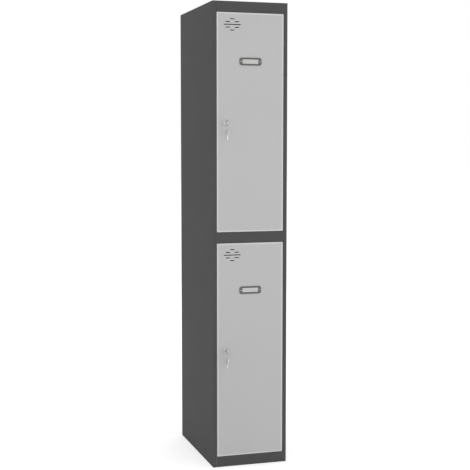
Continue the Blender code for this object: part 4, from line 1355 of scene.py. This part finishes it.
# %% Keys
BOW_RIM = 0.0013
RIM_STEP = 0.0002
RIM_DEEP = 0.00025
BOW_HOLE_OUT = 0.0231  # from the door's face to the hole's middle
BOW_HOLE_EDGE = 0.0062  # from the bow's edge to it
BOW_HOLE = (
    (0, -0.0020),
    (0.0036, -0.0020),
    (0.0036, -0.0010),
    (0.0030, -0.0006),
    (0.0030, 0.0006),
    (0.0036, 0.0010),
    (0.0036, 0.0020),
    (0, 0.0020),
)
GROOVE_FLOOR = 0.00062
GROOVE_START = SHOULDER + 0.0012
GROOVE_RISE = 0.0006
take_all()
extrude(key_high.x - key_low.x, 0, 0)
face_outwards()
for side in (-1, 1):
    pick("FACE", lambda face: face.normal.x * side > 0.99 and len(face.verts) > 30)
    bpy.ops.mesh.inset(thickness=BOW_RIM)
    bpy.ops.mesh.inset(thickness=RIM_STEP, depth=-RIM_DEEP)
leave()
soften(key, 0.00012, 2, 40)
bow_hole = Vector((KEY_X, FRONT - BOW_HOLE_OUT, KEY_Z))
combine(key, [turn("bow_hole", bow_hole, "x", BOW_HOLE, steps=40)])
for side in (-1, 1):
    rise = side * GROOVE_RISE
    groove = add_box(
        "groove",
        (KEY_X + side * GROOVE_FLOOR, GROOVE_START, KEY_Z - 0.0014 + rise),
        (KEY_X + side * OVERRUN, TIP + OVERRUN, KEY_Z - 0.0002 + rise),
    )
    combine(key, [groove])
shade(key, 35)
spare = repeat(key, "spare", (0, 0, 0))
spare_low, spare_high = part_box("lower_spare_key")
spare_hole = Vector((KEY_X, (spare_low.y + spare_high.y) / 2, spare_high.z - BOW_HOLE_EDGE))
spare.rotation_euler = (math.radians(-90), 0, 0)
spare.location = spare_hole - Vector((KEY_X, KEY_Z, BOW_HOLE_OUT - FRONT))
settle(spare, "lower_spare_cut_key")
dress_tiers(key, "cut_key", "nickel", "lock_core", "key")
# The spare key's lighter nickel is a painted highlight.
dress_tiers(spare, "spare_cut_key", "highlight_nickel", "spare", "spare_key")

# %% [markdown]
# The ring is a split ring: one wire wound twice, stepping across to its second turn where its ends
# leave a gap. A curve with a round bevel follows that path, and is then made a mesh.

# %% Key rings
SPLIT = 22  # degrees over which the wire steps across
SPLIT_TURNED = 200  # degrees that the split is turned out of sight
RING_STEPS = 4  # degrees to each step of the wire
ring_low, ring_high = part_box("lower_key_ring")
WIRE = (ring_high.y - ring_low.y) / 4
RING = (ring_high.x - ring_low.x) / 2 - 2 * WIRE
wire = bpy.data.curves.new("split_ring", "CURVE")
wire.dimensions = "3D"
wire.bevel_depth = WIRE
wire.bevel_resolution = 3
wire.use_fill_caps = True
angles = range(SPLIT, 720 - SPLIT + 1, RING_STEPS)
spline = wire.splines.new("POLY")
spline.points.add(len(angles) - 1)
for point, angle in zip(spline.points, angles):
    share = min(1.0, max(0.0, (angle - 360 + SPLIT) / (2 * SPLIT)))
    across = WIRE * (2 * share * share * (3 - 2 * share) - 1)
    turned = math.radians(angle + SPLIT_TURNED)
    point.co = (RING * math.cos(turned), across, RING * math.sin(turned), 1)
ring = bpy.data.objects.new("split_ring", wire)
bpy.context.scene.collection.objects.link(ring)
work_on(ring)
bpy.ops.object.convert(target="MESH")
ring = bpy.context.object
edit(ring)
merge_doubles()
leave()
ring.location = (ring_low + ring_high) / 2
settle(ring, "split_ring")
shade(ring, 40)
dress_tiers(ring, "split_ring", "nickel", "ring", "key_ring")

# %% [markdown]
# The doors hang on pins, one at each end, that turn in nylon bushes in the pans. Pins and bushes
# are turned pieces. The upper end of a door is the lower one upside down, so its outlines are the
# same with their heights the other way round.

# %% Hinge pins and bushes
PIN = (
    (0, 0.0046),
    (0.0034, 0.0046),
    (0.0042, 0.0043),
    (0.0045, 0.0038),
    (0.0045, 0.0026),
    (0.0025, 0.0026),
    (0.0025, -0.0062),
    (0.0019, -0.0070),
    (0, -0.0070),
)
BUSH = (
    (0.0027, 0.0012),
    (0.0050, 0.0012),
    (0.0054, 0.0010),
    (0.0055, 0.0007),
    (0.0055, 0.0003),
    (BUSH_RADIUS, 0.0003),
    (BUSH_RADIUS, -0.0012),
    (0.0043, -0.0014),
    (0.0040, -0.0023),
    (0.0027, -0.0023),
    (0.0027, 0.0012),
)
for end, way, rail in (("bottom", 1, door_low.z - DOOR_GAP), ("top", -1, door_high.z + DOOR_GAP)):
    pivot = (PIVOT.x, PIVOT.y, rail)
    pin = turn("pin", pivot, "z", facing(way, PIN), steps=36)
    shade(pin, 40)
    dress_tiers(pin, f"{end}_pivot_pin", "zinc", "door_set", f"{end}_hinge_pin")
    bush = turn("bush", pivot, "z", facing(way, BUSH), steps=36)
    shade(bush, 40)
    dress_tiers(bush, f"{end}_pivot_bush", "black_nylon", "cabinet", f"{end}_hinge_bush")

# %% [markdown]
# Two rubber buffers on the stop lip keep each door from clanging. A buffer is pressed into its
# hole: a low dome in front, a stem, and a barb behind that holds it. It is turned like the pins.

# %% Buffers
BUFFER = (
    (0, -0.0017),
    (0.0022, -0.00168),
    (0.0031, -0.00150),
    (0.0037, -0.00110),
    (0.0038, -0.00060),
    (0.0037, -0.00030),
    (BUFFER_STEM, -0.00030),
    (BUFFER_STEM, 0.0011),
    (0.0026, 0.0012),
    (0.0024, 0.0017),
    (0.0017, 0.0028),
    (0.0010, 0.0030),
    (0, 0.0030),
)
for end, level in zip(("bottom", "top"), buffer_levels):
    rubber = turn("buffer", (BUFFER_X, FRONT + STOP, level), "y", BUFFER, steps=32)
    shade(rubber, 40)
    dress_tiers(rubber, f"{end}_rubber_buffer", "black_rubber", "cabinet", f"{end}_buffer")

# %% [markdown]
# Each compartment has a double coat hook: an outline cut from 3 mm plate, on a foot that is welded
# under the ceiling. The outline is drawn with one corner, drawn out for the stem and then spun
# about the middle of each bend, which keeps the curves true. Only the left half is drawn, and the
# Mirror modifier makes the other. The weld along the foot is a turned bead with ripples. The edges
# are rounded, as tumbling does before plating.

# %% Coat hooks
HOOK_BAR = 0.0090
HOOK_INSIDE = 0.0100
HOOK_OUTSIDE = HOOK_INSIDE + HOOK_BAR
HOOK_PLATE = 0.0030
HOOK_DROP = 0.028
FOOT = (0.044, 0.018, 0.0015)
FOOT_CORNER = 0.003
hook_low, hook_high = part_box("lower_coat_hook")
HOOK_Y = (hook_low.y + hook_high.y) / 2
HOOK_BACK = HOOK_Y - HOOK_PLATE / 2
foot_under = hook_high.z - FOOT[2]
hook_bend = Vector((-HOOK_BAR / 2 - HOOK_INSIDE, HOOK_BACK, hook_high.z - HOOK_DROP))
hook_tip = hook_bend - Vector((HOOK_INSIDE + HOOK_BAR / 2, 0, 0))


def draw_arc(centre, degrees, steps):
    """Spins the picked corner about a centre, clockwise from the front. The tool counts back."""
    bpy.ops.mesh.spin(steps=steps, angle=math.radians(-degrees), center=centre, axis=(0, 1, 0))


stem_top = Vector((0, HOOK_BACK, foot_under + FOOT[2] / 2))
hook = add_corner("hook", stem_top)
extrude(-HOOK_BAR / 2, 0, 0)
extrude(0, 0, hook_bend.z - stem_top.z)
draw_arc(hook_bend, 180, 24)
draw_arc(hook_tip, -180, 14)
draw_arc(hook_bend, -180 + math.degrees(math.acos(-hook_bend.x / HOOK_OUTSIDE)), 30)
merge_doubles()
take_all()
bpy.ops.mesh.edge_face_add()
take_all()
extrude(0, HOOK_PLATE, 0)
face_outwards()
pick("FACE", lambda face: abs(face.normal.x) > 0.9 and near(middle(face).x, 0))
bpy.ops.mesh.delete(type="FACE")
leave()
apply_modifier(hook, "MIRROR", use_mirror_merge=True, merge_threshold=DOUBLES)
soften(hook, 0.0006, 3, 50)
foot = add_box(
    "foot",
    (-FOOT[0] / 2, HOOK_Y - FOOT[1] / 2, foot_under),
    (FOOT[0] / 2, HOOK_Y + FOOT[1] / 2, hook_high.z),
)
edit(foot)
pick("EDGE", lambda edge: near(middle(edge).z, (foot_under + hook_high.z) / 2))
bpy.ops.mesh.bevel(offset=FOOT_CORNER, segments=6)
leave()
soften(foot, 0.0003, 2, 50)
combine(hook, [foot], "UNION")

# %% [markdown]
# A weld bead swells and shrinks with each drop of metal. Its outline is a row of points on a wave,
# tapered to its two ends, and it is spun round the corner between hook and foot.

# %% Weld beads of the hooks
BEAD = 0.0051
RIPPLES = 32
RIPPLE = 0.00010
ripples = [(0, -0.0050)]
for number in range(RIPPLES + 1):
    along = -0.0049 + number * 0.0098 / RIPPLES
    swell = 1 - (along / BEAD) ** 6
    wave = RIPPLE * math.cos(number * math.pi / 2)
    ripples.append((0.0004 + swell * (0.0008 + wave), along))
ripples.append((0, 0.0050))
for side in (-1, 1):
    bead = turn("bead", (0, HOOK_Y + side * HOOK_PLATE / 2, foot_under), "x", ripples, steps=20)
    combine(hook, [bead], "UNION")
shade(hook, 35)
dress_tiers(hook, "double_coat_hook", "zinc", "cabinet", "coat_hook")

# %% [markdown]
# The locker stands on a plain pale floor that runs out of sight, and takes the object's shadow as
# any matt floor does. The photo's background is white. More light on the floor would bleach the
# locker too, so the floor gets a glow that only the camera, gloss and glass can see. It adds no
# light.

# %% Floor
FLOOR_GLOW = 0.52


def seen_directly(tree):
    """1 for rays from the camera, from gloss and through glass, and 0 for those that light."""
    rays = add_node(tree, "ShaderNodeLightPath")
    camera, gloss, glass = [
        Wire(tree, rays.outputs[name])
        for name in ("Is Camera Ray", "Is Glossy Ray", "Is Transmission Ray")
    ]
    return camera.math("MAXIMUM", gloss).math("MAXIMUM", glass)


bpy.ops.mesh.primitive_plane_add(size=60, location=(0, 0, -0.0005))
floor = settle(bpy.context.object, "floor")
paint = Finish("floor")
paint.set(Base_Color=grey(0.80), Roughness=0.9, Specular_IOR_Level=0.0)
strength = seen_directly(paint.tree) * FLOOR_GLOW
glow = paint.node("ShaderNodeEmission", {}, {"Color": grey(1.0), "Strength": strength})
both = paint.node("ShaderNodeAddShader", {}, {0: paint.shader.outputs[0], 1: glow.outputs[0]})
plug(paint.tree, paint.tree.nodes["Material Output"].inputs["Surface"], both.outputs[0])
floor.data.materials.append(paint.material)
print("floor:", paint.material.name)

# %% [markdown]
# Even light from all round, as in a photographer's light tent, keeps the flat sides as flat as in
# the photo. The world gives most of it. Where it is seen directly it is white, at a strength of 1.

# %% World
LIGHT_LEVEL = 0.68
world = bpy.data.worlds.new("light_tent")
bpy.context.scene.world = world
world.use_nodes = True
sky = world.node_tree.nodes["Background"]
plug(world.node_tree, sky.inputs["Color"], grey(1.0))
strength = seen_directly(world.node_tree) * (1 - LIGHT_LEVEL) + LIGHT_LEVEL
plug(world.node_tree, sky.inputs["Strength"], strength)
print("world:", world.name, LIGHT_LEVEL)

# %% [markdown]
# Three large square lamps give the bends their thin highlights: one near the camera, one to the
# right and one behind. They are large and far off, so that their shadows are soft, and they stay
# weak.

# %% Lamps
LAMP_SIZE = 3.6
MIDDLE = Vector((0, 0, HEIGHT / 2))


def soft_lamp(name, place, power):
    """A large square lamp that looks at the middle of the locker."""
    lamp = bpy.data.lights.new(name, "AREA")
    lamp.shape = "SQUARE"
    lamp.size = LAMP_SIZE
    lamp.energy = power
    stand = bpy.data.objects.new(name, lamp)
    bpy.context.scene.collection.objects.link(stand)
    stand.location = place
    stand.rotation_euler = (MIDDLE - Vector(place)).to_track_quat("-Z", "Y").to_euler()
    print(f"{name}: {power} W")


soft_lamp("key_lamp", (-0.2, -5.0, 1.0), 69)
soft_lamp("fill_lamp", (3.2, -3.2, 0.9), 34)
soft_lamp("rear_lamp", (0.9, 4.2, 3.0), 40)

# %% [markdown]
# The camera was fitted to the cabinet's corners in the photo: it stands to the left and in front,
# 1.26 m up, and looks a little down. Its lens is given by the focal length in pixels of the frame.

# %% Camera
FRAME_WIDTH = 470
SENSOR = 36
FOCAL = 1078.5
YAW = 0.2951
DOWN = 0.0842
EYE = (-1.2684, FRONT - 3.9695, 1.2602)
camera_data = bpy.data.cameras.new("camera")
camera_data.sensor_width = SENSOR
camera_data.lens = FOCAL / FRAME_WIDTH * SENSOR
camera = bpy.data.objects.new("camera", camera_data)
bpy.context.scene.collection.objects.link(camera)
camera.location = EYE
look = Vector((math.sin(YAW) * math.cos(DOWN), math.cos(YAW) * math.cos(DOWN), -math.sin(DOWN)))
camera.rotation_euler = look.to_track_quat("-Z", "Y").to_euler()
bpy.context.scene.camera = camera
bpy.context.scene.view_settings.view_transform = "Standard"
print(f"camera: lens {camera_data.lens:.1f} mm")
